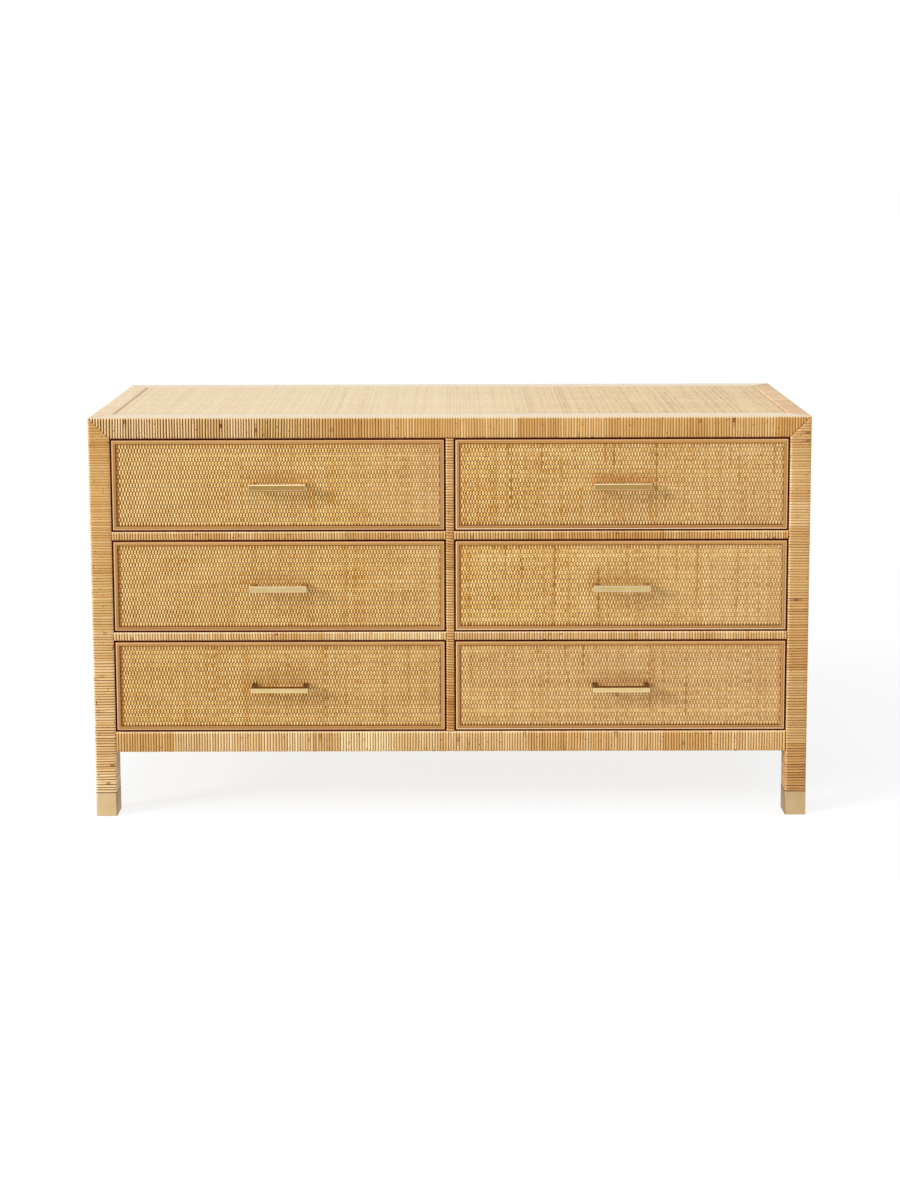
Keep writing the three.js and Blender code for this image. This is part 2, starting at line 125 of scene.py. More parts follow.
# %% Node helpers
def linear(red, green, blue):
    """A colour of 0 to 255 as the shader wants it."""
    shares = [channel / 255 for channel in (red, green, blue)]
    return (*[c / 12.92 if c <= 0.04045 else ((c + 0.055) / 1.055) ** 2.4 for c in shares], 1)


def new_material(name, roughness, metallic=0.0):
    """A material and its node tree and shader."""
    material = bpy.data.materials.new(name)
    material.use_nodes = True
    tree = material.node_tree
    shader = tree.nodes["Principled BSDF"]
    shader.inputs["Roughness"].default_value = roughness
    shader.inputs["Metallic"].default_value = metallic
    return material, tree, shader


def add_node(tree, kind, inputs=(), **settings):
    """A node with its settings, and its inputs set to values or linked to sockets."""
    node = tree.nodes.new(kind)
    for key, value in settings.items():
        setattr(node, key, value)
    for key, value in dict(inputs).items():
        if isinstance(value, bpy.types.NodeSocket):
            tree.links.new(value, node.inputs[key])
        else:
            node.inputs[key].default_value = value
    return node


def ramp(tree, factor, stops):
    """A colour ramp from (position, colour) stops."""
    node = add_node(tree, "ShaderNodeValToRGB", {"Fac": factor})
    elements = node.color_ramp.elements
    while len(elements) < len(stops):
        elements.new(0.5)
    for element, (position, colour) in zip(elements, stops):
        element.position = position
        element.color = colour
    return node.outputs["Color"]


def mixed(tree, factor, first, second, blend="MIX"):
    """Two colours mixed by a factor."""
    inputs = {0: factor, 6: first, 7: second}
    node = add_node(tree, "ShaderNodeMix", inputs, data_type="RGBA", blend_type=blend)
    return node.outputs[2]


def maths(tree, operation, *values):
    """A sum on sockets or numbers."""
    inputs = dict(enumerate(values))
    return add_node(tree, "ShaderNodeMath", inputs, operation=operation).outputs[0]


def rescaled(tree, value, low, high, to_low=0.0, to_high=1.0):
    """A value carried from one range over to another, and kept inside it."""
    inputs = {
        "Value": value, "From Min": low, "From Max": high, "To Min": to_low, "To Max": to_high,
    }
    return add_node(tree, "ShaderNodeMapRange", inputs).outputs["Result"]


def attribute(tree, name):
    """A number stored on the mesh."""
    return add_node(tree, "ShaderNodeAttribute", attribute_name=name).outputs["Fac"]


print("red as the shader sees it:", linear(255, 0, 0))

# %% [markdown]
# The next helpers draw what every material here is made of: noise that is stretched along the
# grain, numbers that the mesh carries for dirt and wear, and a fine relief. Noise uses the piece's
# own coordinates, so it rides along when a drawer moves.

# %% Material helpers
def along_grain(axis, across, along):
    """Noise scales along X, Y and Z: one along the grain, another across it."""
    return [along if letter == axis else across for letter in "XYZ"]


def stretched_noise(tree, scale, detail, roughness=0.6):
    """Noise in the piece's own coordinates, scaled as given along X, Y and Z."""
    place = add_node(tree, "ShaderNodeTexCoord").outputs["Object"]
    mapping = add_node(tree, "ShaderNodeMapping", {"Vector": place, "Scale": scale})
    inputs = {"Vector": mapping.outputs[0], "Scale": 1.0, "Detail": detail, "Roughness": roughness}
    return add_node(tree, "ShaderNodeTexNoise", inputs).outputs["Fac"]


def swayed(tree, value, noise, amount):
    """A value that noise moves up and down by up to half the amount."""
    return maths(tree, "MULTIPLY_ADD", maths(tree, "SUBTRACT", noise, 0.5), amount, value)


def covered(tree, colour, **covers):
    """A colour under others, each as thick as the mesh's number of the same name says."""
    for name, cover in covers.items():
        colour = mixed(tree, attribute(tree, name), colour, cover)
    return colour


def dulled_by_grooves(tree, socket, gloss):
    """Feeds a gloss to a shader's socket, but none in the grooves."""
    clean = maths(tree, "SUBTRACT", 1.0, attribute(tree, "groove"))
    tree.links.new(maths(tree, "MULTIPLY", clean, gloss), socket)


def glaze(tree, shader, roughness, weight):
    """A thin gloss, hardly seen from the front and white along the surface."""
    shader.inputs["IOR"].default_value = 1.2
    shader.inputs["Coat Roughness"].default_value = roughness
    shader.inputs["Coat IOR"].default_value = 1.22
    dulled_by_grooves(tree, shader.inputs["Coat Weight"], weight)
    dulled_by_grooves(tree, shader.inputs["Specular IOR Level"], 0.5)


def finish_shader(tree, shader, colour, rough, height, strength, distance):
    """Links a shader's colour and roughness, and raises its surface by a height map."""
    inputs = {"Height": height, "Strength": strength, "Distance": distance}
    raised = add_node(tree, "ShaderNodeBump", inputs).outputs[0]
    for key, value in (("Base Color", colour), ("Roughness", rough), ("Normal", raised)):
        tree.links.new(value, shader.inputs[key])


print("noise scales for grain along Z:", along_grain("Z", 90.0, 2.0))

# %% [markdown]
# ## Rattan peel
# Peel is the shiny skin of the cane, split into strips and wound side by side. Its colour changes
# from strip to strip, with brown stretches at the nodes of the cane, and dirt and painted shade
# darken the grooves. A painted sheen pales the upper faces, a painted highlight the rounded edges,
# and painted shade browns the rounded edges on top of the top rails. The meshes will carry numbers
# for all that: `tone` and `hue` for the strip, `groove` for how deep a point lies, one number for
# the node stains and that edge shade, and one for the painted sheen on the upper faces. Long thin
# noise adds the fibres, which run along the strip, so each direction of winding has a material of
# its own.

# %% Rattan peel
PEEL_TONES = [
    (0.00, linear(148, 94, 40)),
    (0.28, linear(191, 142, 78)),
    (0.55, linear(210, 167, 105)),
    (0.80, linear(228, 192, 138)),
    (1.00, linear(246, 218, 170)),
]
PEEL_HUES = [  # from orange over plain to straw
    (0.0, (1.00, 0.90, 0.74, 1)),
    (0.4, (1.00, 0.98, 0.96, 1)),
    (0.6, (1.00, 1.00, 1.00, 1)),
    (1.0, (0.98, 1.02, 0.93, 1)),
]
# Colours for dirt and painted shade in the grooves, for node stains and painted edge shade, and for
# the painted sheen on upper faces.
GROOVE_BROWN = linear(92, 40, 0)
NODE_AND_SHADE_BROWN = linear(122, 70, 30)
SHEEN_COLOUR = linear(213, 195, 165)
SPECK_LEVEL, SPECK_SHADE = 0.70, 0.8


def share_of(tree, name):
    """The mesh's number of that name, from -1 to 1, as a share from 0 to 1."""
    return maths(tree, "MULTIPLY_ADD", attribute(tree, name), 0.5, 0.5)


def peel_material(axis):
    """Peel wound round a stick that runs along X, Y or Z."""
    material, tree, shader = new_material(f"rattan_peel_wound_{axis.lower()}", 0.42)
    glaze(tree, shader, 0.15, 0.5)
    fibres = stretched_noise(tree, along_grain(axis, 25.0, 900.0), 3.0)
    patches = stretched_noise(tree, (9.0, 9.0, 9.0), 3.0)
    tone = swayed(tree, swayed(tree, share_of(tree, "tone"), fibres, 0.35), patches, 0.25)
    drift = ramp(tree, share_of(tree, "hue"), PEEL_HUES)
    colour = mixed(tree, 1.0, ramp(tree, tone, PEEL_TONES), drift, "MULTIPLY")
    grains = stretched_noise(tree, (170.0, 170.0, 170.0), 1.0)
    specks = rescaled(tree, grains, SPECK_LEVEL, SPECK_LEVEL + 0.04, 0.0, SPECK_SHADE)
    # Node stains and painted edge shade turn brown; the painted sheen, and the dirt and painted
    # shade of the grooves, cover the colour.
    brown = maths(tree, "MAXIMUM", attribute(tree, "stain"), specks)
    colour = mixed(tree, brown, colour, NODE_AND_SHADE_BROWN)
    colour = covered(tree, colour, bleach=SHEEN_COLOUR, groove=GROOVE_BROWN)
    rough = maths(tree, "MULTIPLY_ADD", patches, 0.22, 0.32)
    finish_shader(tree, shader, colour, rough, fibres, 0.25, 0.2 * MM)
    return material


peel = {axis: peel_material(axis) for axis in "XYZ"}
print("peel materials:", [material.name for material in peel.values()])

# %% [markdown]
# ## Meshes from grids
# Peel and weave repeat thousands of times, so numpy makes their points as a grid and Blender gets
# the whole grid at once. A closed grid joins its last column to its first, as round a stick.
# Numbers for each face or point, such as a strip's tone, are stored with the mesh for the material
# to read.

# %% Meshes from grids
def store(mesh, domain, marks):
    """Stores named numbers with a mesh, one for each face or point."""
    for key, values in marks.items():
        layer = mesh.attributes.new(key, "FLOAT", domain)
        layer.data.foreach_set("value", np.asarray(values, dtype=np.float32).ravel())


def back_loop(index):
    """The rim of an open grid, in the order that closes its back."""
    bottom, top = index[0], index[-1]
    return np.concatenate([bottom[::-1], index[1:-1, 0], top, index[1:-1, -1][::-1]])


def grid_mesh(name, points, closed, face_values, point_values):
    """A mesh from a grid of points, with a cap on each end where the grid is closed round."""
    rows, columns = points.shape[:2]
    index = np.arange(rows * columns).reshape(rows, columns)
    right = np.roll(index, -1, axis=1) if closed else index[:, 1:]
    left = index if closed else index[:, :-1]
    quads = np.stack([left[:-1], right[:-1], right[1:], left[1:]], axis=-1).reshape(-1, 4)
    caps = [index[0][::-1], index[-1]] if closed else [back_loop(index)]
    corners = np.concatenate([quads.ravel(), *caps])
    sizes = np.concatenate([np.full(len(quads), 4), [len(cap) for cap in caps]])
    starts = np.concatenate([[0], np.cumsum(sizes)[:-1]])
    mesh = bpy.data.meshes.new(name)
    mesh.vertices.add(rows * columns)
    mesh.vertices.foreach_set("co", points.astype(np.float32).ravel())
    mesh.loops.add(len(corners))
    mesh.loops.foreach_set("vertex_index", corners.astype(np.int32))
    mesh.polygons.add(len(sizes))
    mesh.polygons.foreach_set("loop_start", starts.astype(np.int32))
    mesh.update(calc_edges=True)
    on_caps = np.zeros(len(caps))
    store(mesh, "FACE", {key: np.append(values, on_caps) for key, values in face_values.items()})
    store(mesh, "POINT", point_values)
    mesh.validate()
    return mesh


def add_piece(mesh, material, body, smooth=True):
    """Puts a mesh into the scene as a piece of the same name that rides on a body."""
    piece = new_object(mesh.name, mesh)
    mesh.materials.append(material)
    mesh.polygons.foreach_set("use_smooth", np.full(len(mesh.polygons), smooth))
    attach(piece, body)
    return piece


def pieces_named(start):
    """How many of the pieces made here have a name that starts so."""
    names = [thing.name for thing in bpy.data.objects if thing.name not in frame["nodes"]]
    return sum(name.startswith(start) for name in names)


print("grid helpers ready")

# %% [markdown]
# ## Winding a stick
# A wound stick is a square bar with rounded edges whose surface rises and falls with every turn
# of peel. Modelling each turn as its own ring would be heavy and would leave gaps, so the stick
# is one skin: rings of points along its length, pushed in at the grooves between two turns. The
# turns differ a little in width and lean. One strip lasts for a dozen turns, so its tone stays the
# same for that long, and a few strips are clearly brown.

# %% Colours of the strips
TONE_DRIFT, HUE_DRIFT = 0.13, 0.36  # from strip to strip
TURN_SPREAD = 0.14  # from turn to turn
BROWN_SHARE = 0.08  # the share of strips that are clearly brown
BROWN_TONE, BROWN_HUE = -0.34, -0.5
NODE_SHARE = 0.20  # the share of turns that show a node of the cane


def smooth_random(chance, count, step):
    """Random numbers that change slowly: a new one every `step`, joined by straight lines."""
    knots = chance.normal(size=count // step + 3)
    return np.interp(np.arange(count) / step, np.arange(len(knots)), knots)


def strip_colours(chance, turns):
    """A tone and a hue for each turn: those of the strip it belongs to, and a little of its own."""
    tones, hues = np.empty(turns), np.empty(turns)
    start = 0
    while start < turns:
        strip = slice(start, start + int(chance.integers(7, 22)))
        tones[strip], hues[strip] = chance.normal(0.0, TONE_DRIFT), chance.normal(0.0, HUE_DRIFT)
        if chance.random() < BROWN_SHARE:
            tones[strip], hues[strip] = BROWN_TONE, BROWN_HUE
        start = strip.stop
    tones = tones + chance.normal(0.0, TURN_SPREAD, turns)
    return tones, hues + chance.normal(0.0, TURN_SPREAD, turns)


def node_stains(chance, turns, columns):
    """Brown stretches where a turn holds a node of the cane."""
    stain = np.zeros((turns, columns))
    for turn in np.flatnonzero(chance.random(turns) < NODE_SHARE):
        centre = chance.integers(columns)
        reach = np.abs((np.arange(columns) - centre + columns / 2) % columns - columns / 2)
        strength = chance.uniform(0.15, 0.95)
        stain[turn] = strength * np.exp(-((reach / chance.uniform(0.5, 1.3)) ** 2))
    return stain


print("clearly brown strips: one in", round(1 / BROWN_SHARE))

# %% [markdown]
# The skin of a stick comes next. Some looks change along a stick: how wide its grooves are, how
# pale the peel is and how dark dirt and painted shade make the grooves. Each is given as a few
# values from end to end. The upper faces were pressed flat and carry a painted sheen, and the
# rounded edges carry a painted highlight.

# %% The skin of a stick
TURN = 5.77 * MM
GROOVE_DEPTH = 1.1 * MM
GROOVE_DROP = (1.0, 0.75, 0.10, 0.0, 0.10, 0.75)  # how deep the six rings of a turn lie
PROUD, PROUDEST = 0.07 * MM, 0.2 * MM  # how much some turns stand out
WIDTH_SPREAD, LEAN = 0.06, 0.10  # how the turns differ and how far they lean, in turns
CALM = 0.2  # depth of grooves and their painted shade on top faces, where the peel was pressed flat
EDGE_HIGHLIGHT = 0.50  # painted highlight: how much paler the rounded edges of a stick are
END_DIRT_AND_SHADE = 1.2  # how dark dirt and painted shade make the grooves at both ends


def rounded_outline(half_a, half_b, radius, corner_steps=3, side_steps=3):
    """Points and outward normals round a rectangle with rounded corners."""
    points, normals = [], []
    signs = ((1, 1), (-1, 1), (-1, -1), (1, -1))
    centres = [np.array((a * (half_a - radius), b * (half_b - radius))) for a, b in signs]
    for quarter, centre in enumerate(centres):
        for step in range(corner_steps + 1):
            angle = (quarter + step / corner_steps) * math.pi / 2
            normals.append(np.array((math.cos(angle), math.sin(angle))))
            points.append(centre + radius * normals[-1])
        next_start = centres[(quarter + 1) % 4] + radius * normals[-1]
        for step in range(1, side_steps + 1):
            points.append(points[-1] + (next_start - points[-1]) * (1 / (side_steps + 2 - step)))
            normals.append(normals[-1])
    return np.array(points), np.array(normals)


def along_stick(values, count):
    """Values given at even steps from end to end, read off at `count` places."""
    return np.interp(np.linspace(0, 1, count), np.linspace(0, 1, len(values)), values)


def ring_places(chance, length, turns, gap):
    """Where the six rings of each turn lie along a stick, and the last one at its end."""
    widths = 1 + WIDTH_SPREAD * chance.standard_normal(turns)
    edges = np.concatenate([[0], np.cumsum(widths / widths.sum())]) * length
    gaps = along_stick(gap, turns)
    shape = np.stack([0 * gaps, gaps / 2, gaps, 0 * gaps + 0.5, 1 - gaps, 1 - gaps / 2], axis=1)
    rings = (edges[:-1, None] + np.diff(edges)[:, None] * shape).ravel()
    return np.append(rings, length)


def wound_stick(
    name, low, high, axis, radius, seed, gap=(0.21,), pale=(0.24,), dirt=(1.0,), uneven=0.15,
    sheen_share=0.9, faded=0.0, upper_edge_shade=0.0,
):
    """A mesh for a stick along X, Y or Z that fills the box from low to high.

    Gap is the share of a turn that lies in each half of a groove. The share of painted sheen is
    given for the top face, and a share of the same pale colour for the other faces. The edge shade
    is how far painted shade browns the rounded edges of the top face.
    """
    chance = np.random.default_rng(seed)
    along = "XYZ".index(axis)
    a, b = (along + 1) % 3, (along + 2) % 3
    length = high[along] - low[along]
    turns = max(1, round(length / TURN))
    per_turn = len(GROOVE_DROP)
    rings = ring_places(chance, length, turns, gap)
    drop = np.append(np.tile(GROOVE_DROP, turns), 1.0)
    outline, normals = rounded_outline((high[a] - low[a]) / 2, (high[b] - low[b]) / 2, radius)
    columns = len(outline)
    proud = chance.normal(0.0, PROUD, turns).clip(-PROUDEST, 0)
    inset = GROOVE_DEPTH * drop - np.append(np.repeat(proud, per_turn), 0)
    upward = {"X": normals[:, 1], "Y": normals[:, 0], "Z": np.zeros(columns)}[axis]
    relief = 1 - (1 - CALM) * np.clip(2 * upward - 0.6, 0, 1)
    inset = inset[:, None] * relief
    lean = LEAN * TURN * np.sin(np.arange(columns) / columns * 2 * math.pi + chance.uniform(0, 6))
    lean = lean * smooth_random(chance, len(rings), 60)[:, None]
    middle = (np.array(low) + np.array(high)) / 2
    points = np.empty((len(rings), columns, 3))
    points[..., along] = np.clip(rings[:, None] + lean, 0, length) + low[along]
    points[..., a] = middle[a] + outline[:, 0] - inset * normals[:, 0]
    points[..., b] = middle[b] + outline[:, 1] - inset * normals[:, 1]
    tones, hues = strip_colours(chance, turns)
    # A painted highlight pales the rounded edges of the stick.
    worn = EDGE_HIGHLIGHT * (np.abs(normals).min(axis=1) > 0.2)
    tones = np.repeat(along_stick(pale, turns) + tones, per_turn)[:, None] + worn
    hues = np.repeat(hues, per_turn)[:, None] + np.zeros(columns)
    # A painted sheen on the top face, and a share of the same pale colour on the other faces.
    bleach = np.maximum(sheen_share * (1 - relief) / (1 - CALM), faded) + np.zeros((len(hues), 1))
    stains_and_shade = np.repeat(node_stains(chance, turns, columns), per_turn, axis=0)
    # Painted shade browns the rounded edges of the top face, on top of the node stains.
    face_up = (upward + np.roll(upward, -1)) / 2
    stains_and_shade = np.maximum(stains_and_shade, upper_edge_shade * ((face_up > 0.35) & (face_up < 0.9)))
    # Dirt and painted shade darken the grooves, less on the top faces.
    dark = along_stick(dirt, turns + 1) * chance.uniform(1 - uneven, 1 + uneven, turns + 1)
    dark[[0, -1]] = END_DIRT_AND_SHADE
    around_groove = (np.arange(len(rings)) + per_turn // 2) // per_turn
    groove = (dark[around_groove] * drop ** 1.2).clip(0, 1)[:, None] * relief ** 1.5
    values = {"tone": tones.clip(-1, 1), "hue": hues.clip(-1, 1), "stain": stains_and_shade, "bleach": bleach}
    return grid_mesh(name, points, True, values, {"groove": groove})


print("a turn of peel is", TURN / MM, "mm wide")

# %% [markdown]
# ## Mitres
# At each top corner three sticks meet, and the peel of one ends against the peel of the next
# along a slanting line. Two flat cuts give each stick its point: it keeps the part of the corner
# that lies further along its own length than along the other two.

# %% Mitres
GLUE = 0.3 * MM


def cut(work, place, normal, **settings):
    """Cuts a mesh in work with a plane."""
    everything = work.verts[:] + work.edges[:] + work.faces[:]
    bmesh.ops.bisect_plane(work, geom=everything, plane_co=place, plane_no=normal, **settings)


def finished_mesh(work, mesh):
    """Writes a mesh in work to its mesh and frees it."""
    work.to_mesh(mesh)
    work.free()
    return mesh


def mitre(mesh, side_x, side_y, axis):
    """Cuts a stick's end at the top corner on that side, and closes the cut."""
    corner = Vector((side_x * HALF_WIDTH, MIDDLE_Y + side_y * HALF_DEPTH, TOP_Z))
    inward = {"X": Vector((-side_x, 0, 0)), "Y": Vector((0, -side_y, 0)), "Z": Vector((0, 0, -1))}
    own = inward.pop(axis)
    work = bmesh.new()
    work.from_mesh(mesh)
    for other in inward.values():
        normal = (other - own).normalized()
        cut(work, corner - normal * GLUE / 2, normal, clear_outer=True)
        rim = [edge for edge in work.edges if edge.is_boundary]
        bmesh.ops.holes_fill(work, edges=rim, sides=0)
    finished_mesh(work, mesh)


print("mitred sticks end", GLUE / MM, "mm apart")

# %% [markdown]
# ## The wound frame
# Every stick of the frame is wound in the same way. The posts stop above the brass caps, and the
# bottom rails run between the posts. The peel isn't the same everywhere: it is wound tighter on the
# posts, its grooves are wider and darker, with dirt and painted shade, near the feet and at the
# left end of the top rails, the left posts grow paler towards the feet, and the right posts are
# browner.

# %% Posts and rails
SIDES = ("left", "right")
ENDS = ("front", "back")
SIGN = {"left": -1, "right": 1, "front": -1, "back": 1}
STICK_ROUND = 4 * MM
X_SPANS = {"left": (-HALF_WIDTH, -HALF_WIDTH + STICK), "right": (HALF_WIDTH - STICK, HALF_WIDTH)}
Y_SPANS = {"front": (FRONT_Y, FRONT_Y + STICK), "back": (BACK_Y - STICK, BACK_Y)}
TOP_SPAN = (TOP_Z - STICK, TOP_Z)
POST_LOOKS = {  # from the foot to the top
    "left": {
        "gap": (0.19, 0.12, 0.03), "pale": (0.66, 0.48, 0.26, -0.12, -0.26),
        "dirt": (1.2, 0.9, 0.1),
    },
    "right": {
        "gap": (0.16, 0.11, 0.08), "pale": (-0.1, -0.22, 0.24, 0.02, -0.24),
        "dirt": (1.2, 0.9, 0.9), "faded": 0.08,
    },
}
TOP_RAIL_LOOKS = {
    "gap": (0.29, 0.26, 0.18, 0.18, 0.19), "pale": (0.62, 0.42, -0.04, 0.06, 0.08),
    "dirt": (1.3, 1.2, 0.5, 0.6, 0.65), "upper_edge_shade": 0.75,
}
TOP_END_LOOKS = {
    "left": {"pale": (0.3,), "sheen_share": 0.65}, "right": {"pale": (-0.2,), "sheen_share": 0.2},
}
LONG_LOOKS = {"dirt": (0.9, 0.75), "sheen_share": 0.35}


def wound_piece(node, low, high, axis, radius, seed, corners=(), half="", **looks):
    """A wound stick in place of a packed one, mitred at the corners named by their signs."""
    mesh = wound_stick(f"{node}{half}_wound", low, high, axis, radius, seed, **looks)
    for side_x, side_y in corners:
        mitre(mesh, side_x, side_y, axis)
    piece = add_piece(mesh, peel[axis], "carcass")
    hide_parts(node)


def spanned(x, y, z):
    """The low and the high corner of a box from its three spans."""
    return tuple(zip(x, y, z))


for seed, (end, side) in enumerate((end, side) for end in ENDS for side in SIDES):
    corners = [(SIGN[side], SIGN[end])]
    box = spanned(X_SPANS[side], Y_SPANS[end], (CAP_TOP + GLUE, TOP_Z))
    looks = POST_LOOKS[side]
    wound_piece(f"post_{end}_{side}", *box, "Z", STICK_ROUND, seed, corners, uneven=0.6, **looks)

for seed, end in enumerate(ENDS, start=10):
    corners = [(-1, SIGN[end]), (1, SIGN[end])]
    box = spanned((-HALF_WIDTH, HALF_WIDTH), Y_SPANS[end], TOP_SPAN)
    wound_piece(f"top_rail_{end}", *box, "X", STICK_ROUND, seed, corners, **TOP_RAIL_LOOKS)
    node = f"bottom_rail_{end}"
    wound_piece(
        node, *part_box(node), "X", STICK_ROUND, seed + 2, pale=(0.48, 0.36), **LONG_LOOKS,
    )

for seed, side in enumerate(SIDES, start=20):
    corners = [(SIGN[side], -1), (SIGN[side], 1)]
    box = spanned(X_SPANS[side], (FRONT_Y, BACK_Y), TOP_SPAN)
    looks = TOP_END_LOOKS[side]
    wound_piece(f"top_rail_{side}", *box, "Y", STICK_ROUND, seed, corners, **looks)
    node = f"bottom_rail_{side}"
    wound_piece(node, *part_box(node), "Y", STICK_ROUND, seed + 2)

print("posts:", pieces_named("post_"), "top rails:", pieces_named("top_rail_"))

# %% [markdown]
# The slim sticks between the drawers are wound like the others. The upright stile runs through in
# front, so each divider is wound in two halves that end against it.

# %% Stile and dividers
SLIM_ROUND = 3 * MM
DIVIDER_PALE = {
    "upper": {"left": (0.24, -0.10), "right": (0.04, 0.0)},
    "lower": {"left": (0.50, 0.55), "right": (0.34, 0.12)},
}
wound_piece("stile", *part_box("stile"), "Z", SLIM_ROUND, 30, pale=(-0.14,), dirt=(0.8,))
stile_low, stile_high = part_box("stile")
for seed, (level, pales) in enumerate(DIVIDER_PALE.items(), start=31):
    node = f"divider_rail_{level}"
    low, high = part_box(node)
    halves = {"left": (low[0], stile_low[0]), "right": (stile_high[0], high[0])}
    for side, span in halves.items():
        box = spanned(span, (low[1], high[1]), (low[2], high[2]))
        wound_piece(
            node, *box, "X", SLIM_ROUND, seed * 2 + SIGN[side], half=f"_{side}",
            pale=pales[side], **LONG_LOOKS,
        )

print("halves of dividers:", pieces_named("divider_rail_"))

# %% [markdown]
# ## Woven sheet
# The sheet is machine-woven from split core. Upright strands pass over two cross strands and
# under the next two, and their neighbours do the opposite, which gives the rows of small grains.
# The grid has three points across each strand: one in the groove and two on its back. Each point
# takes the height of whichever strand is on top there, so the crossings are real relief.

# %% Shape of the weave
UPRIGHT = 3.18 * MM
CROSS = 4.57 * MM
DIVE, CROSS_DIVE = 0.34 * MM, 0.34 * MM * 0.7  # how far strands rise and fall
DOME, CROSS_DOME = 0.42 * MM, 0.42 * MM * 0.8  # how round their backs are
NOTCH = 0.10 * MM  # the dent over each gap between cross strands
END_DIP = 0.06 * MM  # how much a float sinks at its ends
PLACES = {2: (0.0, 0.5), 3: (0.0, 0.38, 0.62)}  # of a strand's own points, as shares of its width


def woven_heights(across, up):
    """Height of the sheet for places counted in strands: that of whichever strand is on top."""
    upright_share, cross_share = across % 1, up % 1
    odd = np.floor(across) % 2
    upright = np.sin(math.pi / 2 * (up + 2 * odd))
    lower_pair = np.floor(up) % 4 < 2
    cross = np.where(lower_pair, -1, 1) * np.sin(math.pi * across)
    upright_top = DIVE * upright + DOME * (1 - (2 * upright_share - 1) ** 2)
    to_end = np.abs((up + 1) % 2 - 1)
    upright_top = upright_top - NOTCH * (2 * cross_share - 1) ** 4
    upright_top = upright_top - END_DIP * np.exp(-((to_end / 0.3) ** 2))
    cross_top = CROSS_DIVE * cross + CROSS_DOME * (1 - (2 * cross_share - 1) ** 2)
    return np.maximum(upright_top, cross_top)


def strand_places(strands, per):
    """Places across a row of strands: one in each gap, the rest towards the strand's middle."""
    return np.append((np.arange(strands)[:, None] + np.array(PLACES[per])).ravel(), strands)


print("strands:", UPRIGHT / MM, "and", CROSS / MM, "mm apart")

# %% [markdown]
# Each strand has its own tone, an upright one's drifts along its length, and upright strands are
# paler than cross strands, partly by their own colour and partly by painted shade at the crossings.
# That contrast is painted to fall off away from the light that rakes from the left, and where it is
# lower all strands are mixed towards a flat, evenly lit colour. The ends of a float, the stretch
# where a strand lies on top, carry a painted highlight and its middle painted shade, and the strand
# under it is shaded near those ends.

# %% Tones of the strands
# Upright strands are paler than cross strands, partly their own colour, partly painted shade.
UPRIGHT_PALE, CROSS_DARK = 0.50, -0.68
CROSS_SPREAD, CROSS_DRIFT = 0.18, 0.08  # from cross strand to cross strand
BEND_LIGHT_AND_SHADE = 0.26  # painted light and shade: floats paler at their ends, the strands under them darker there
FLAT_LIGHT_SHARE = 0.75  # how far strands mix towards a flat, evenly lit colour where the painted contrast is gone


def sheet_tones(chance, uprights, crosses, per, streaks, contrast, patchy):
    """A tone for each face of a sheet, and how far it is mixed towards a flat, evenly lit colour.
    """
    column, row = np.arange(uprights * per) // per, np.arange(crosses * per) // per
    on_top = (row[:, None] + 2 * (column % 2)) % 4 < 2
    drift = np.stack([smooth_random(chance, crosses, 7) for _ in range(uprights)], axis=1)
    upright = UPRIGHT_PALE + chance.normal(0.0, streaks, uprights) + 0.5 * streaks * drift
    cross = CROSS_DARK + chance.normal(0.0, CROSS_SPREAD, crosses)
    cross = cross + CROSS_DRIFT * smooth_random(chance, crosses, 5)
    tone = np.where(on_top, upright[row][:, column], cross[row, None])
    # The painted contrast of light and shade follows the raking light; where it is lower, the faces
    # mix towards a flat, evenly lit colour.
    middle_tone = (UPRIGHT_PALE + CROSS_DARK) / 2
    difference = np.where(on_top, UPRIGHT_PALE, CROSS_DARK) - middle_tone
    contrasts = np.linspace(*contrast, len(column))
    faded = FLAT_LIGHT_SHARE * (1 - contrasts).clip(0, 1) + np.zeros(tone.shape)
    tone = tone + difference * (contrasts / (1 - faded) - 1)
    tone = tone + patchy * chance.standard_normal((crosses, uprights))[row][:, column]
    # A painted highlight at each float's ends and painted shade on the strand under them.
    near_end = np.abs(np.arange(crosses * per) % (2 * per) - (per - 0.5)) > 1
    return tone + BEND_LIGHT_AND_SHADE * np.where(near_end[:, None] == on_top, 1, -1), faded


print("upright strands are", round(UPRIGHT_PALE - CROSS_DARK, 2), "paler than cross strands")

# %% [markdown]
# Painted shade and brown strands come on top. Painted shade browns the rims, where the frame
# shadows them. A front has teeth of painted shade down its left rim and a row of dark holes along
# its bottom. Elsewhere painted shade darkens a share of the small holes at the floats' ends, and a
# few upright strands are brown over part of their length.

# %% Painted shade and brown strands
RIM_MM = {  # how far painted shade reaches in from the left, right, bottom and top
    "left": (5.5, 3.5, 2.2, 4.5), "right": (3.0, 5.0, 2.2, 4.0), "top": (3.2, 3.2, 0.6, 0.6),
    "plain": (1.2, 1.2, 0.6, 0.6),
}
RIM_SHADE = (0.9, 0.35, 0.45, 0.4)
TOOTH_MM = 7.0  # how far the brown teeth of a front's left rim reach in
TOOTH_SHADE = 0.8
BROWN_REACH = (4, 20)  # the least and the most length of a brown stretch, in floats


def edge_shade(chance, across, up, rim):
    """How far painted shade darkens the rim of the sheet, where the frame shadows it."""
    x, y = across * UPRIGHT, up * CROSS
    ragged = chance.uniform(0.7, 1.3, across.shape)
    shade = np.zeros(across.shape)
    for distance, reach, strength in zip((x, x.max() - x, y, y.max() - y), RIM_MM[rim], RIM_SHADE):
        shade = np.maximum(shade, strength * np.exp(-((distance / (reach * MM * ragged)) ** 4)))
    return shade


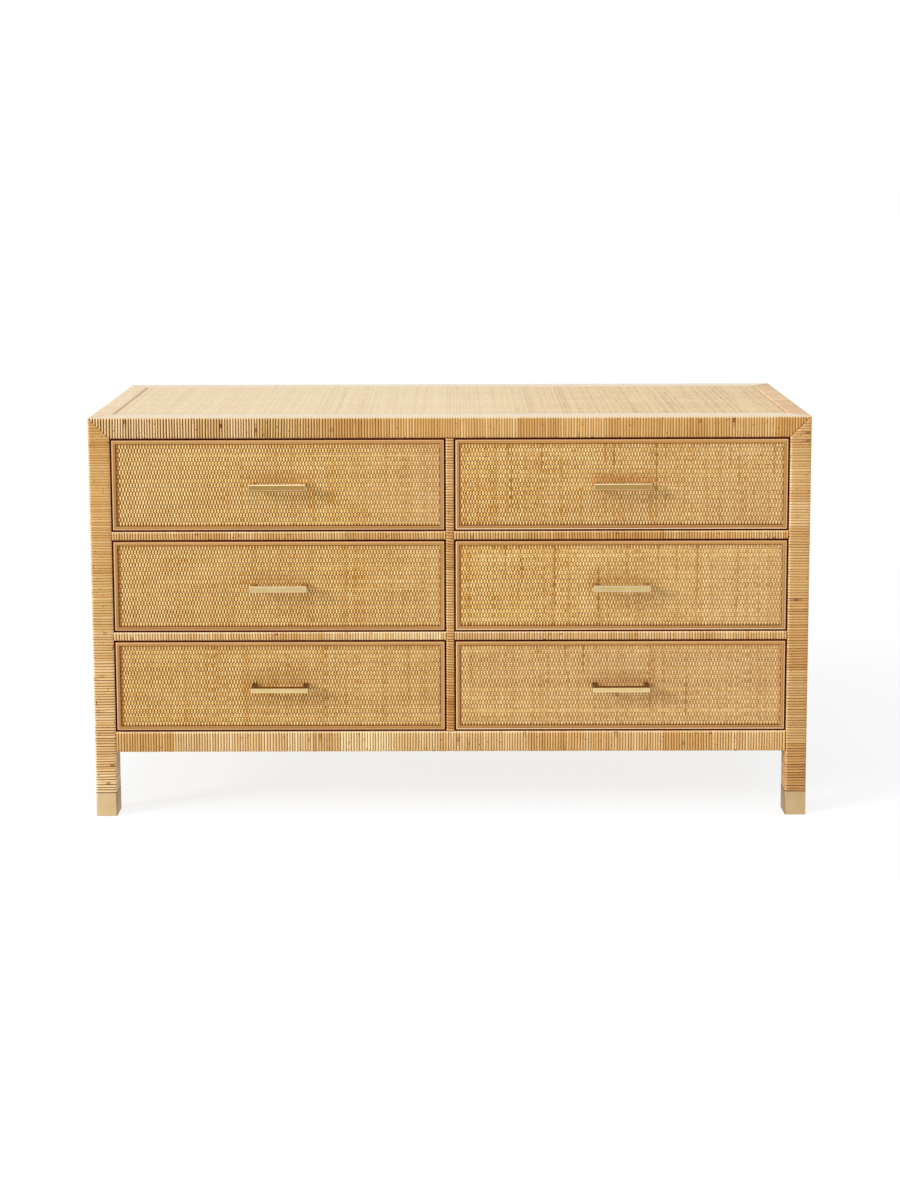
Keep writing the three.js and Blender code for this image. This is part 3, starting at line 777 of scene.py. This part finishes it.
def darken_rims(chance, groove, across, up, rim):
    """Painted shade: teeth down the left rim where strands dive, and dark holes along the bottom.
    """
    if rim not in SIDES:
        return
    if rim == "left":
        teeth = (np.floor(up + 0.5) % 2 < 1) & (across * UPRIGHT < TOOTH_MM * MM)
        shade = TOOTH_SHADE * teeth * chance.uniform(0.6, 1.0, groove.shape)
        np.maximum(groove, shade, out=groove)
    holes = chance.uniform(0.8, 1.0, groove.shape[1]) * (np.floor(across[0]) % 2 == 1)
    groove[:3] = np.maximum(groove[:3], holes)


def open_holes(chance, groove, per, share):
    """Paints shade into some of the small holes at the floats' ends, where two strands dive side by
    side.
    """
    rows, columns = groove[:: 2 * per, ::per].shape
    holes = chance.uniform(0.4, 1.0, (rows, columns)) * (chance.random((rows, columns)) < share)
    for step_up, step_across in ((0, 0), (1, 0), (-1, 0), (0, 1), (0, -1)):
        row = (np.arange(rows) * 2 * per + step_up).clip(0, len(groove) - 1)
        column = (np.arange(columns) * per + step_across).clip(0, groove.shape[1] - 1)
        spread = 0.8 if step_up else 1 - abs(step_across) / 3
        place = np.ix_(row, column)
        groove[place] = np.maximum(groove[place], spread * holes)


def brown_strands(chance, tone, per, count):
    """Darkens a few upright strands over part of their length."""
    for _ in range(count):
        strand = chance.integers(tone.shape[1] // per) * per
        start, length = chance.integers(len(tone)), chance.integers(*BROWN_REACH) * 2 * per
        tone[start:start + length, strand:strand + per] -= chance.uniform(0.25, 0.7)


print("the teeth of a left rim reach", TOOTH_MM, "mm in")

# %% [markdown]
# One function makes a sheet from all that. It lies flat at first, and its last row and column of
# points drop to the ground, so the mesh is closed. Painted shade darkens the middle of a front just
# above the pull.

# %% A woven sheet
STRAY = 0.12  # how far strands stray sideways, as a share of their width
GAP_DARK, GAP_FALL = 1.25, 1.4  # how dark the painted shade in the gaps is, and how fast it grows with depth
SHADE_ABOVE_PULL_MM = (75, 17, 10)  # half width, half height and rise of the painted shade above a pull


def padded(grids, start, stop):
    """The columns of each named grid from start to stop, with its rim repeated once."""
    return {key: np.pad(values[:, start:stop], 1, "edge") for key, values in grids.items()}


def woven_sheet(
    name, width, height, seed, per, streaks, gap_shade, rim="plain", parts=1, relief=1.0,
    bleach=(0.0,), contrast=(1.0, 1.0), patchy=0.1, holes=0.0, brown=0, shade_above_pull=0.0,
):
    """A sheet of weave from (0, 0) to (width, height), facing +Z, in closed meshes side by side.

    Contrast is the painted contrast of light and shade between the strands at the left and at the
    right end, the share of painted sheen is given from left to right, and patchy is how much the
    tone changes from one crossing to the next. Holes is the share of dark holes, brown the number
    of brown strands, and the last value how dark the painted shade above the pull is.
    """
    chance, marks_chance = np.random.default_rng(seed), np.random.default_rng(seed + 1000)
    uprights, crosses = round(width / UPRIGHT), round(height / CROSS)
    across, up = np.meshgrid(strand_places(uprights, per), strand_places(crosses, per))
    heights = woven_heights(across, up) + DIVE
    stray = np.sin(up / crosses * math.pi) * STRAY * smooth_random(chance, across.shape[1], 9 * per)
    x, y = np.clip((across + stray) / uprights, 0, 1) * width, up / crosses * height
    points = np.stack([x, y, heights * relief], axis=-1)
    tone, faded = sheet_tones(chance, uprights, crosses, per, streaks, contrast, patchy)
    sheen_share = along_stick(bleach, uprights * per) + np.zeros(tone.shape)
    mottle = chance.standard_normal(across.shape)
    edge = edge_shade(chance, across, up, rim)
    # Painted shade just above the pull, added to the painted shade of the rims.
    half_width, half_height, rise = (length * MM for length in SHADE_ABOVE_PULL_MM)
    from_pull = ((x - width / 2) / half_width) ** 4 + ((y - height / 2 - rise) / half_height) ** 2
    edge = np.maximum(edge, shade_above_pull * np.exp(-from_pull))
    # Painted shade in the gaps, darker where the sheet lies lower.
    depth = (1 - heights / (2 * DIVE + DOME)).clip(0, 1)
    groove = (GAP_DARK * gap_shade * depth ** GAP_FALL).clip(0, 1)
    darken_rims(marks_chance, groove, across, up, rim)
    open_holes(marks_chance, groove, per, holes)
    brown_strands(marks_chance, tone, per, brown)
    faces = {"tone": tone.clip(-1, 1), "bleach": sheen_share, "faded": faded}
    marks = {"groove": groove, "edge": edge, "mottle": mottle}
    meshes = []
    for part in range(parts):
        start, stop = uprights * part // parts * per, uprights * (part + 1) // parts * per
        label = f"{name}_{part + 1}" if parts > 1 else name
        walled = np.pad(points[:, start:stop + 1], ((1, 1), (1, 1), (0, 0)), "edge")
        for wall in (walled[0], walled[-1], walled[:, 0], walled[:, -1]):
            wall[..., 2] = 0
        own_faces, own_marks = padded(faces, start, stop), padded(marks, start, stop + 1)
        meshes.append(grid_mesh(label, walled, False, own_faces, own_marks))
    return meshes


# The patch above each pull is painted shade.
print("hands have darkened", 2 * SHADE_ABOVE_PULL_MM[0], "mm above each pull")

# %% [markdown]
# The weave's material is like the peel's, but paler and duller, because the core of the cane has
# no skin. The groove number paints shade into the gaps where strands dive under each other, the
# edge number paints shade along the rims and above the pulls, and two more mix in a flat, evenly
# lit colour and a painted sheen. The mottle number, random at every point, makes each strand
# uneven.

# %% Weave material
WEAVE_TONES = [
    (0.00, linear(134, 80, 0)),
    (0.25, linear(184, 132, 42)),
    (0.45, linear(222, 175, 96)),
    (0.70, linear(246, 206, 136)),
    (1.00, linear(255, 232, 172)),
]
# Covers over the tone: a flat, evenly lit colour, a painted sheen, painted shade at the rims and
# above the pulls, and painted shade in the gaps.
CORE_COLOURS = {
    "faded": linear(221, 189, 148),
    "bleach": linear(248, 238, 207),
    "edge": linear(176, 114, 50),
    "groove": linear(116, 60, 0),
}


def weave_material(name):
    """Woven core."""
    material, tree, shader = new_material(name, 0.5)
    glaze(tree, shader, 0.18, 0.15)
    fibres = stretched_noise(tree, (420.0, 420.0, 420.0), 2.0)
    clouds = stretched_noise(tree, (9.0, 9.0, 26.0), 3.0)
    tone = maths(tree, "MULTIPLY_ADD", attribute(tree, "mottle"), 0.11, share_of(tree, "tone"))
    tone = swayed(tree, swayed(tree, tone, fibres, 0.35), clouds, 0.45)
    colour = covered(tree, ramp(tree, tone, WEAVE_TONES), **CORE_COLOURS)
    rough = maths(tree, "MULTIPLY_ADD", fibres, 0.2, 0.45)
    finish_shader(tree, shader, colour, rough, fibres, 0.2, 0.15 * MM)
    return material


weave = weave_material("woven_core")
print("weave material:", weave.name)

# %% [markdown]
# ## Woven top and ends
# A sheet is made lying flat, and is then turned and moved to its panel. It lies on the packed
# board, which stays underneath, and ends a millimetre inside the frame so that the groove shows.
# The top's long sheet is stored as three meshes that meet on the same points, without a seam. A
# painted sheen pales it, least towards its right end.

# %% Woven top and ends
SHEET_LIFT = 0.1 * MM
SHEET_INSET = 1.0 * MM
FRONT_INSET = 0.2 * MM
TUCK = 3.2 * MM
TOP_LIFT = 0.3 * MM
# Shares of painted sheen on the top, from its left end to its right.
TOP_SHEEN_SHARES = (0.65, 0.65, 0.62, 0.42, 0.4)


def lay_sheet(sheet, origin, right, up, body="carcass", lift=SHEET_LIFT):
    """Turns a sheet so that its width runs along `right` and its height along `up`."""
    right, up = Vector(right), Vector(up)
    out = right.cross(up)
    turn = Matrix((right, up, out)).transposed().to_4x4()
    sheet.transform(Matrix.Translation(Vector(origin) + out * lift) @ turn)
    add_piece(sheet, weave, body)


board_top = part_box("top_panel")[1][2]
edge_x = HALF_WIDTH - STICK - FRONT_INSET
front_edge, back_edge = FRONT_Y + STICK - TUCK, BACK_Y - STICK + TUCK
for sheet in woven_sheet(
    "top_weave", 2 * edge_x, back_edge - front_edge, seed=40, per=2, streaks=0.45, gap_shade=0.75,
    rim="top", parts=3, relief=0.5, bleach=TOP_SHEEN_SHARES,
):
    lay_sheet(sheet, (-edge_x, front_edge, board_top), (1, 0, 0), (0, 1, 0), lift=TOP_LIFT)

near, far = FRONT_Y + STICK + SHEET_INSET, BACK_Y - STICK - SHEET_INSET
bottom, top = RAIL_TOP + SHEET_INSET, TOP_Z - STICK - SHEET_INSET
for seed, side in enumerate(SIDES, start=50):
    low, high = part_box(f"side_panel_{side}")
    start = (high[0], near, bottom) if side == "right" else (low[0], far, bottom)
    for sheet in woven_sheet(
        f"end_weave_{side}", far - near, top - bottom, seed, per=2, streaks=0.18, gap_shade=0.9,
    ):
        lay_sheet(sheet, start, (0, SIGN[side], 0), (0, 0, 1))

print("sheets of the top:", pieces_named("top_weave"), "of the ends:", pieces_named("end_weave"))

# %% [markdown]
# ## Wood and brass
# The trim and the boards are plain wood. Stretched noise makes the long grain, and a finer one
# the pores. Satin brass is a metal whose roughness changes along fine brushed lines.

# %% Wood and brass
# A painted highlight on the trim's outer edge, and painted shade on its sides and inner edge.
WOOD_COVERS = {"worn": linear(252, 220, 176), "groove": linear(98, 30, 6)}
# A painted glint on bevelled edges, a painted darker reflection on the top pulls' fronts, and
# patina with painted shade.
BRASS_COVERS = {
    "polish": linear(255, 240, 200), "tarnish": linear(192, 136, 52), "patina": linear(100, 54, 12),
}


def wood_material(name, dark, light, axis, roughness=0.45, gloss=0.25):
    """Plain wood whose grain runs along X, Y or Z."""
    material, tree, shader = new_material(name, roughness)
    grain = stretched_noise(tree, along_grain(axis, 90.0, 2.0), 8.0, 0.7)
    pores = stretched_noise(tree, along_grain(axis, 600.0, 14.0), 2.0)
    mix = maths(tree, "MULTIPLY_ADD", pores, 0.3, maths(tree, "MULTIPLY", grain, 0.85))
    colour = covered(tree, ramp(tree, mix, [(0.30, dark), (0.75, light)]), **WOOD_COVERS)
    dulled_by_grooves(tree, shader.inputs["Specular IOR Level"], gloss)
    rough = maths(tree, "MULTIPLY_ADD", grain, 0.25, roughness - 0.12)
    finish_shader(tree, shader, colour, rough, pores, 0.15, 0.15 * MM)
    return material


def brass_material(name, dark, light, axis, roughness):
    """Satin brass, brushed along X, Y or Z."""
    material, tree, shader = new_material(name, roughness, 1.0)
    lines = stretched_noise(tree, along_grain(axis, 1400.0, 12.0), 2.0)
    clouds = stretched_noise(tree, (30.0, 30.0, 30.0), 2.0)
    mix = maths(tree, "MULTIPLY_ADD", lines, 0.4, maths(tree, "MULTIPLY", clouds, 0.6))
    colour = covered(tree, ramp(tree, mix, [(0.25, dark), (0.75, light)]), **BRASS_COVERS)
    rough = maths(tree, "MULTIPLY_ADD", lines, 0.16, roughness - 0.08)
    finish_shader(tree, shader, colour, rough, lines, 0.08, 0.05 * MM)
    return material


# The top strips are painted lighter and the bottom strips darker, for the light and shade on them.
TRIM_LIGHT_AND_SHADE_COLOURS = {  # dark and light grain, and the way it runs
    "top": (linear(160, 110, 48), linear(200, 150, 86), "X"),
    "bottom": (linear(138, 88, 34), linear(178, 130, 70), "X"),
    "side": (linear(144, 98, 42), linear(188, 140, 80), "Z"),
}
BOARD_COLOURS = linear(190, 152, 104), linear(222, 190, 144)
BRASS_COLOURS = {  # dark and light lines, the way they run, and the roughness
    "caps": (linear(214, 184, 134), linear(232, 206, 160), "Z", 0.46),
    "pulls": (linear(222, 190, 122), linear(246, 220, 164), "X", 0.34),
}
lit_and_shaded_trim = {
    key: wood_material(f"trim_wood_{key}", *colours) for key, colours in TRIM_LIGHT_AND_SHADE_COLOURS.items()
}
board_wood = {
    axis: wood_material(f"board_wood_{axis.lower()}", *BOARD_COLOURS, axis, 0.55) for axis in "XYZ"
}
# Painted shade: a dark board under the weave, seen in its gaps and along its rims.
shade_backing = wood_material("stained_backing", linear(96, 60, 32), linear(122, 80, 46), "X", 0.7)
brass = {
    key: brass_material(f"satin_brass_{key}", *colours) for key, colours in BRASS_COLOURS.items()
}
print("materials so far:", len(bpy.data.materials))

# %% [markdown]
# The boards inside keep their imported shape and only get a finish. The grain runs along the length
# of each board. The boards under the weave are dark, as painted shade, so nothing pale shows
# through.

# %% Finishes of the imported boards
FINISHES = {
    ("front_panel", "top_panel"): shade_backing,
    ("bottom_board", "dust_board", "drawer_floor", "back_panel"): board_wood["X"],
    ("side_panel", "partition", "drawer_box"): board_wood["Y"],
}
for starts, material in FINISHES.items():
    boards = [node for name, node in frame["nodes"].items() if name.startswith(starts)]
    for board in boards:
        board.data.materials.clear()
        board.data.materials.append(material)
    print(material.name, "on", len(boards), "boards")

# %% [markdown]
# ## Foot caps
# Each cap is a brass cup with a softened foot and a thin turned-in lip. Rings of points round a
# rounded square, each with its own inset and height, give the whole cup in one skin, inside
# included. Brown patina and painted shade lie in the lip and on the foot, painted shade lies on
# the sides that face each other, and the right caps are painted a little darker.

# %% Foot caps
CAP_PROFILE_MM = [  # inset, height, patina with painted shade, from mid underside up and back inside
    (1.6, 0.0, 1.0), (0.7, 0.25, 0.9), (0.2, 0.8, 0.3), (0.0, 1.6, 0.0), (0.0, 49.2, 0.0),
    (0.2, 49.6, 0.1), (0.2, 50.2, 0.2), (0.0, 50.5, 0.1), (0.0, 51.2, 0.3), (0.3, 51.9, 0.9),
    (0.8, 52.0, 1.0), (1.5, 51.6, 1.0), (1.5, 46.0, 1.0),
]
# Painted shade: the right caps a little darker, and the sides that face each other darker still.
CAP_SHADE = {"left": 0.0, "right": 0.18}
INNER_SHADE = 0.55


def cup_mesh(name, low, high, side):
    """A foot cap that fills the box from low to high, with painted shade on its inward side."""
    half_x, half_y = (high[0] - low[0]) / 2, (high[1] - low[1]) / 2
    outline, normals = rounded_outline(half_x, half_y, STICK_ROUND, 6, 1)
    inset, height, own_patina_and_shade = np.array(CAP_PROFILE_MM).T[:, :, None]
    points = np.empty((len(CAP_PROFILE_MM), len(outline), 3))
    points[..., :2] = outline + (low[0] + half_x, low[1] + half_y) - inset[..., None] * MM * normals
    points[..., 2] = low[2] + height * MM
    inward = normals[:, 0] * SIGN[side] < -0.3
    patina = np.maximum(np.where(inward, INNER_SHADE, CAP_SHADE[side]), own_patina_and_shade)
    return grid_mesh(name, points, True, {}, {"patina": patina})


for end in ENDS:
    for side in SIDES:
        node = f"foot_cap_{end}_{side}"
        mesh = cup_mesh(f"{node}_brass", *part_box(node), side)
        piece = add_piece(mesh, brass["caps"], "carcass")
        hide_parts(node)

print("foot caps:", pieces_named("foot_cap_"))

# %% [markdown]
# ## Drawer fronts
# A drawer front is a woven field in a mitred wooden trim. The trim is one profile carried round
# the four sides: rounded outside, flat in front, with a small soft edge next to the weave. Its
# outer edge carries a painted highlight, and the sides towards the gap and the soft edge by the
# weave carry painted shade.

# %% Trim
TRIM_PROFILE_MM = [  # distance from outer edge, depth behind face, painted shade, painted highlight
    (1.2, 20.0, 0.5, 0.0), (1.2, 6.0, 1.0, 0.0), (1.3, 1.6, 0.9, 0.0), (1.7, 0.8, 0.35, 0.6),
    (2.3, 0.2, 0.0, 1.0), (3.4, 0.0, 0.0, 0.8), (4.4, 0.0, 0.0, 0.0), (6.6, 0.1, 0.0, 0.0),
    (8.6, 0.3, 0.0, 0.1), (9.2, 0.8, 0.0, 0.1), (9.5, 1.6, 0.1, 0.0), (9.5, 20.0, 1.0, 0.0),
]
TRIM_ENDS = {  # the corners where a strip starts and ends: 1 is right or top, 0 left or bottom
    "bottom": ((0, 0), (1, 0)), "right": ((1, 0), (1, 1)), "top": ((1, 1), (0, 1)),
    "left": ((0, 1), (0, 0)),
}
TRIM_HIGHLIGHT_BY_SIDE = {  # painted highlight on the strips of the left and of the right drawers
    "left": {"bottom": 0.5, "right": 0.45, "top": 0.3, "left": 0.5},
    "right": {"bottom": 1.0, "right": 0.6, "top": 0.3, "left": 0.7},
}


def trim_strip(name, low, high, edge, highlight_share):
    """One mitred strip of the trim along that edge of a front, as a closed mesh."""
    inward, behind, trim_shade, trim_highlight = np.array(TRIM_PROFILE_MM).T[:, ::-1]
    rows = []
    for far_x, far_z in TRIM_ENDS[edge]:
        x = high[0] - inward * MM if far_x else low[0] + inward * MM
        z = high[2] - inward * MM if far_z else low[2] + inward * MM
        rows.append(np.stack([x, low[1] + behind * MM, z], axis=-1))
    # Painted shade on the sides towards the gap and by the weave, and the painted highlight.
    marks = {"groove": [trim_shade, trim_shade], "worn": [trim_highlight * highlight_share, trim_highlight * highlight_share]}
    return grid_mesh(name, np.array(rows), True, {}, marks)


def add_trim(tag, side, body):
    """The four strips of a drawer front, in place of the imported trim."""
    node = f"front_frame_{tag}"
    for edge, highlight_share in TRIM_HIGHLIGHT_BY_SIDE[side].items():
        mesh = trim_strip(f"trim_{edge}_{tag}", *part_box(node), edge, highlight_share)
        material = lit_and_shaded_trim.get(edge, lit_and_shaded_trim["side"])
        piece = add_piece(mesh, material, body, smooth=False)
        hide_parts(node)


print("trim profile points:", len(TRIM_PROFILE_MM))

# %% [markdown]
# ## Pulls
# A pull is a square brass bar on two short legs, all edges softened. It is drawn as an outline
# seen from above, extruded to its height and bevelled. A painted glint lies on its bevelled edges,
# and painted shade lies on the legs and on the top faces, most on the lowest pulls, where it also
# runs along the upper edge of the bar. The fronts of the top pulls are painted a darker, warmer
# yellow, for the dimmer room that they mirror.

# %% Pulls
LEG = 10 * MM
BAR = 6 * MM
SOFT_EDGE = 1.4 * MM
# Painted shade on the upper edge, top faces and legs of the pulls, and a painted dim reflection on
# the fronts of the top ones, set by row.
SHADE_LINE = {"upper": 0.0, "middle": 0.0, "lower": 1.2 * MM}
TOP_SHADE = {"upper": 0.0, "middle": 0.4, "lower": 1.0}
LEG_SHADE = {"upper": 0.1, "middle": 0.35, "lower": 0.85}
FRONT_DIM_REFLECTION = {"upper": 0.6, "middle": 0.0, "lower": 0.0}


def pull_mesh(name, low, high, seat_y, level):
    """A bar on two legs: the outline from above, extruded and bevelled."""
    x0, x1, y0, y1 = low[0], high[0], low[1], low[1] + BAR
    outline = [
        (x0, y0), (x1, y0), (x1, seat_y), (x1 - LEG, seat_y), (x1 - LEG, y1), (x0 + LEG, y1),
        (x0 + LEG, seat_y), (x0, seat_y),
    ]
    work = bmesh.new()
    face = work.faces.new([work.verts.new((x, y, low[2])) for x, y in outline])
    raised = bmesh.ops.extrude_face_region(work, geom=[face])["geom"]
    corners = [item for item in raised if isinstance(item, bmesh.types.BMVert)]
    bmesh.ops.translate(work, verts=corners, vec=(0, 0, high[2] - low[2]))
    bmesh.ops.recalc_face_normals(work, faces=work.faces)
    bmesh.ops.bevel(
        work, geom=work.edges[:], offset=SOFT_EDGE, segments=3, profile=0.5, affect="EDGES"
    )
    shade_line_z = high[2] - SOFT_EDGE - SHADE_LINE[level]
    cut(work, (0, 0, shade_line_z), (0, 0, 1))
    mesh = finished_mesh(work, bpy.data.meshes.new(name))
    marks = {"patina": [], "polish": [], "tarnish": []}
    # Painted shade on legs and top faces, painted glints on the bevels, painted dim reflection in
    # front.
    for face in mesh.polygons:
        on_leg, on_top = face.center.y > y1, face.center.z > shade_line_z
        marks["patina"].append(LEG_SHADE[level] if on_leg else TOP_SHADE[level] * on_top)
        marks["polish"].append(max(abs(value) for value in face.normal) < 0.97)
        marks["tarnish"].append(FRONT_DIM_REFLECTION[level] * (face.normal.y < -0.95))
    store(mesh, "FACE", marks)
    return mesh


print("pull legs", LEG / MM, "mm, bar", BAR / MM, "mm")

# %% [markdown]
# ## Gaps round the fronts
# The gap round each front is painted almost black-red as shade: four thin dark slips line each
# opening a little behind the front.

# %% Slips of painted shade
LEVELS = ("upper", "middle", "lower")
FRONT_GAP = 2.2 * MM
SLIP_T = 0.8 * MM
SLIP_SPAN = (FRONT_Y + 2.2 * MM, FRONT_Y + 30 * MM)
# Painted shade: a dark wood for the slips in the gaps round the fronts.
gap_shade_wood = wood_material("dark_stain", linear(114, 34, 8), linear(132, 46, 14), "X", 0.8, 0.0)


def add_slips(tag, low, high):
    """Four thin slips round the opening of a front from low to high, in one mesh."""
    x0, z0 = low[0] - FRONT_GAP, low[2] - FRONT_GAP
    x1, z1 = high[0] + FRONT_GAP, high[2] + FRONT_GAP
    spans = (
        ((x0, x1), (z0, z0 + SLIP_T)), ((x0, x1), (z1 - SLIP_T, z1)),
        ((x0, x0 + SLIP_T), (z0, z1)), ((x1 - SLIP_T, x1), (z0, z1)),
    )
    work = bmesh.new()
    for x, z in spans:
        block = bmesh.ops.create_cube(work, size=1.0)["verts"]
        size = (x[1] - x[0], SLIP_SPAN[1] - SLIP_SPAN[0], z[1] - z[0])
        bmesh.ops.scale(work, verts=block, vec=size)
        bmesh.ops.translate(work, verts=block, vec=(sum(x) / 2, sum(SLIP_SPAN) / 2, sum(z) / 2))
    mesh = finished_mesh(work, bpy.data.meshes.new(f"stained_slips_{tag}"))
    add_piece(mesh, gap_shade_wood, "carcass", smooth=False)


for level in LEVELS:
    for side in SIDES:
        add_slips(f"{level}_{side}", *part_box(f"front_frame_{level}_{side}"))

print("slips:", pieces_named("stained_slips"))

# %% [markdown]
# ## Six drawers
# All six drawers repeat the same pieces on different bodies, so one loop dresses them. Their woven
# fields differ a little: the painted contrast of light and shade between the strands falls off
# towards the right, away from the light that rakes from the left, and the right column has more
# brown strands.

# %% Dressing the drawers
FRONT_SEEDS = {"upper": 60, "middle": 70, "lower": 80}
COLUMN_LOOKS = {
    "left": {"streaks": 0.20, "gap_shade": 1.0, "patchy": 0.06, "brown": 3},
    "right": {"streaks": 0.24, "gap_shade": 0.9, "patchy": 0.10, "brown": 24},
}
# Painted contrast of light and shade at the left and right end, dark holes, and painted shade above
# the pull.
FIELD_LOOKS = {
    "upper_left": {"contrast": (1.7, 0.65), "holes": 0.10, "shade_above_pull": 0.28},
    "upper_right": {"contrast": (1.0, 0.68), "holes": 0.40, "shade_above_pull": 0.45},
    "middle_left": {"contrast": (1.5, 0.8), "holes": 0.15, "shade_above_pull": 0.28},
    "middle_right": {"contrast": (1.1, 0.62), "holes": 0.15, "shade_above_pull": 0.28},
    "lower_left": {"contrast": (1.15, 0.8), "holes": 0.25, "shade_above_pull": 0.28},
    "lower_right": {"contrast": (0.78, 0.6), "holes": 0.15, "shade_above_pull": 0.28},
}
for tag, field_looks in FIELD_LOOKS.items():
    level, side = tag.split("_")
    body = f"drawer_{tag}"
    add_trim(tag, side, body)
    low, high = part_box(f"front_panel_{tag}")
    width, height = (high[axis] - low[axis] - 2 * FRONT_INSET for axis in (0, 2))
    corner = (low[0] + FRONT_INSET, low[1], low[2] + FRONT_INSET)
    for sheet in woven_sheet(
        f"front_weave_{tag}", width, height, FRONT_SEEDS[level] + SIGN[side], per=3, rim=side,
        **COLUMN_LOOKS[side], **field_looks,
    ):
        lay_sheet(sheet, corner, (1, 0, 0), (0, 0, 1), body)
    mesh = pull_mesh(f"pull_{tag}_brass", *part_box(f"pull_{tag}"), low[1], level)
    pull = add_piece(mesh, brass["pulls"], body, smooth=False)
    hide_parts(f"pull_{tag}")

print("trim strips:", pieces_named("trim_"), "woven fields:", pieces_named("front_weave_"))

# %% [markdown]
# ## Light and floor
# The light is plain and soft. A white world lights every side. The camera sees it as pure white,
# while the light it gives is weaker. In reflections the room in front of the dresser is dimmer
# than the ceiling and the backdrop, which models the faces of the brass.

# %% World
AMBIENT = 0.66
ROOM_SHEEN = 0.65


def plainly_seen(tree):
    """1 for rays that show a thing: from the camera, in a reflection or through glass."""
    path = add_node(tree, "ShaderNodeLightPath")
    seen = maths(tree, "MAXIMUM", path.outputs["Is Camera Ray"], path.outputs["Is Glossy Ray"])
    return maths(tree, "MAXIMUM", seen, path.outputs["Is Transmission Ray"])


world = bpy.data.worlds.new("studio")
bpy.context.scene.world = world
world.use_nodes = True
sky = world.node_tree
facing = add_node(sky, "ShaderNodeTexCoord").outputs["Generated"]
facing = add_node(sky, "ShaderNodeSeparateXYZ", {0: facing})
behind = rescaled(sky, facing.outputs["Y"], -0.5, 0.3)
above = rescaled(sky, facing.outputs["Z"], 0.2, 0.7)
bright = maths(sky, "MAXIMUM", behind, above)
mirrored = maths(sky, "MULTIPLY_ADD", bright, 1 - ROOM_SHEEN, ROOM_SHEEN)
path = add_node(sky, "ShaderNodeLightPath")
plain = maths(sky, "MAXIMUM", path.outputs["Is Camera Ray"], path.outputs["Is Transmission Ray"])
glossy = maths(sky, "MULTIPLY", path.outputs["Is Glossy Ray"], mirrored)
diffuse = maths(sky, "MULTIPLY", maths(sky, "SUBTRACT", 1.0, plainly_seen(sky)), AMBIENT)
strength = maths(sky, "ADD", maths(sky, "MAXIMUM", plain, glossy), diffuse)
sky.links.new(strength, sky.nodes["Background"].inputs["Strength"])
sky.nodes["Background"].inputs["Color"].default_value = (1, 1, 1, 1)
print("world gives", AMBIENT, "of the light that the camera sees in it")

# %% [markdown]
# A large lamp overhead gives the top its brightness. Light from a tall window far to the left
# rakes across the front: it models the upright strands, shades the left rim of each woven field
# and draws the pulls' soft shadows.

# %% Lamps
def add_lamp(name, kind, place, target, **settings):
    """A soft lamp that looks at a point."""
    lamp = bpy.data.lights.new(name, kind)
    for key, value in settings.items():
        setattr(lamp, key, value)
    holder = new_object(name, lamp)
    holder.location = place
    holder.rotation_euler = (Vector(target) - Vector(place)).to_track_quat("-Z", "Y").to_euler()


add_lamp("lamp_above", "AREA", (-0.5, -1.6, 3.6), (0, 0, 0.6), size=2.4, energy=45)
add_lamp("window", "SUN", (-2.2, -1.0, 1.0), (0, 0, 0), angle=0.30, energy=2.3)

# %% [markdown]
# The floor is plain and pale. Close to the dresser a small part of it is an ordinary matte
# surface, so the soft shadow shows there. The rest shines as white as the world, and further out
# it is all white, so no horizon shows. In reflections it grows dimmer towards the room in front, so
# the low pulls mirror a brighter floor than the high ones.

# %% Floor
MATTE_SHARE = 0.20
FLOOR_SIZE = 24
FLOOR_WHITE = 1.01
floor_material, tree, shader = new_material("pale_floor", 0.9)
shader.inputs["Specular IOR Level"].default_value = 0.0
clouds = stretched_noise(tree, (3.0, 3.0, 3.0), 2.0)
tint = ramp(tree, clouds, [(0.0, (0.79, 0.79, 0.79, 1)), (1.0, (0.81, 0.81, 0.81, 1))])
tree.links.new(tint, shader.inputs["Base Color"])
place = add_node(tree, "ShaderNodeTexCoord").outputs["Object"]
distance = add_node(tree, "ShaderNodeVectorMath", {0: place}, operation="LENGTH").outputs["Value"]
near = rescaled(tree, distance, 2.4, 1.2)
forward = add_node(tree, "ShaderNodeSeparateXYZ", {0: place}).outputs["Y"]
lit = rescaled(tree, forward, -3.2, -1.0, 0.6, FLOOR_WHITE)
straight = add_node(tree, "ShaderNodeLightPath").outputs["Is Camera Ray"]
glow = maths(tree, "MAXIMUM", maths(tree, "MULTIPLY", straight, FLOOR_WHITE), lit)
white = add_node(tree, "ShaderNodeEmission", {"Color": (1, 1, 1, 1), "Strength": glow})
matte = add_node(tree, "ShaderNodeBsdfDiffuse", {"Color": (0.92, 0.96, 1.0, 1)})
inputs = {0: maths(tree, "MULTIPLY", near, MATTE_SHARE), 1: white.outputs[0], 2: matte.outputs[0]}
shown = add_node(tree, "ShaderNodeMixShader", inputs).outputs[0]
inputs = {0: plainly_seen(tree), 1: shader.outputs[0], 2: shown}
surface = add_node(tree, "ShaderNodeMixShader", inputs).outputs[0]
tree.links.new(surface, tree.nodes["Material Output"].inputs["Surface"])
bpy.ops.mesh.primitive_plane_add(size=FLOOR_SIZE, location=(0, 0, 0))
floor = bpy.context.object
floor.name = "floor"
floor.data.materials.append(floor_material)
print("floor shows", MATTE_SHARE, "of its shade near the dresser")

# %% [markdown]
# ## Finish
# The picture uses the plain view transform, so colours come out as written.

# %% Finish
bpy.context.scene.view_settings.view_transform = "Standard"
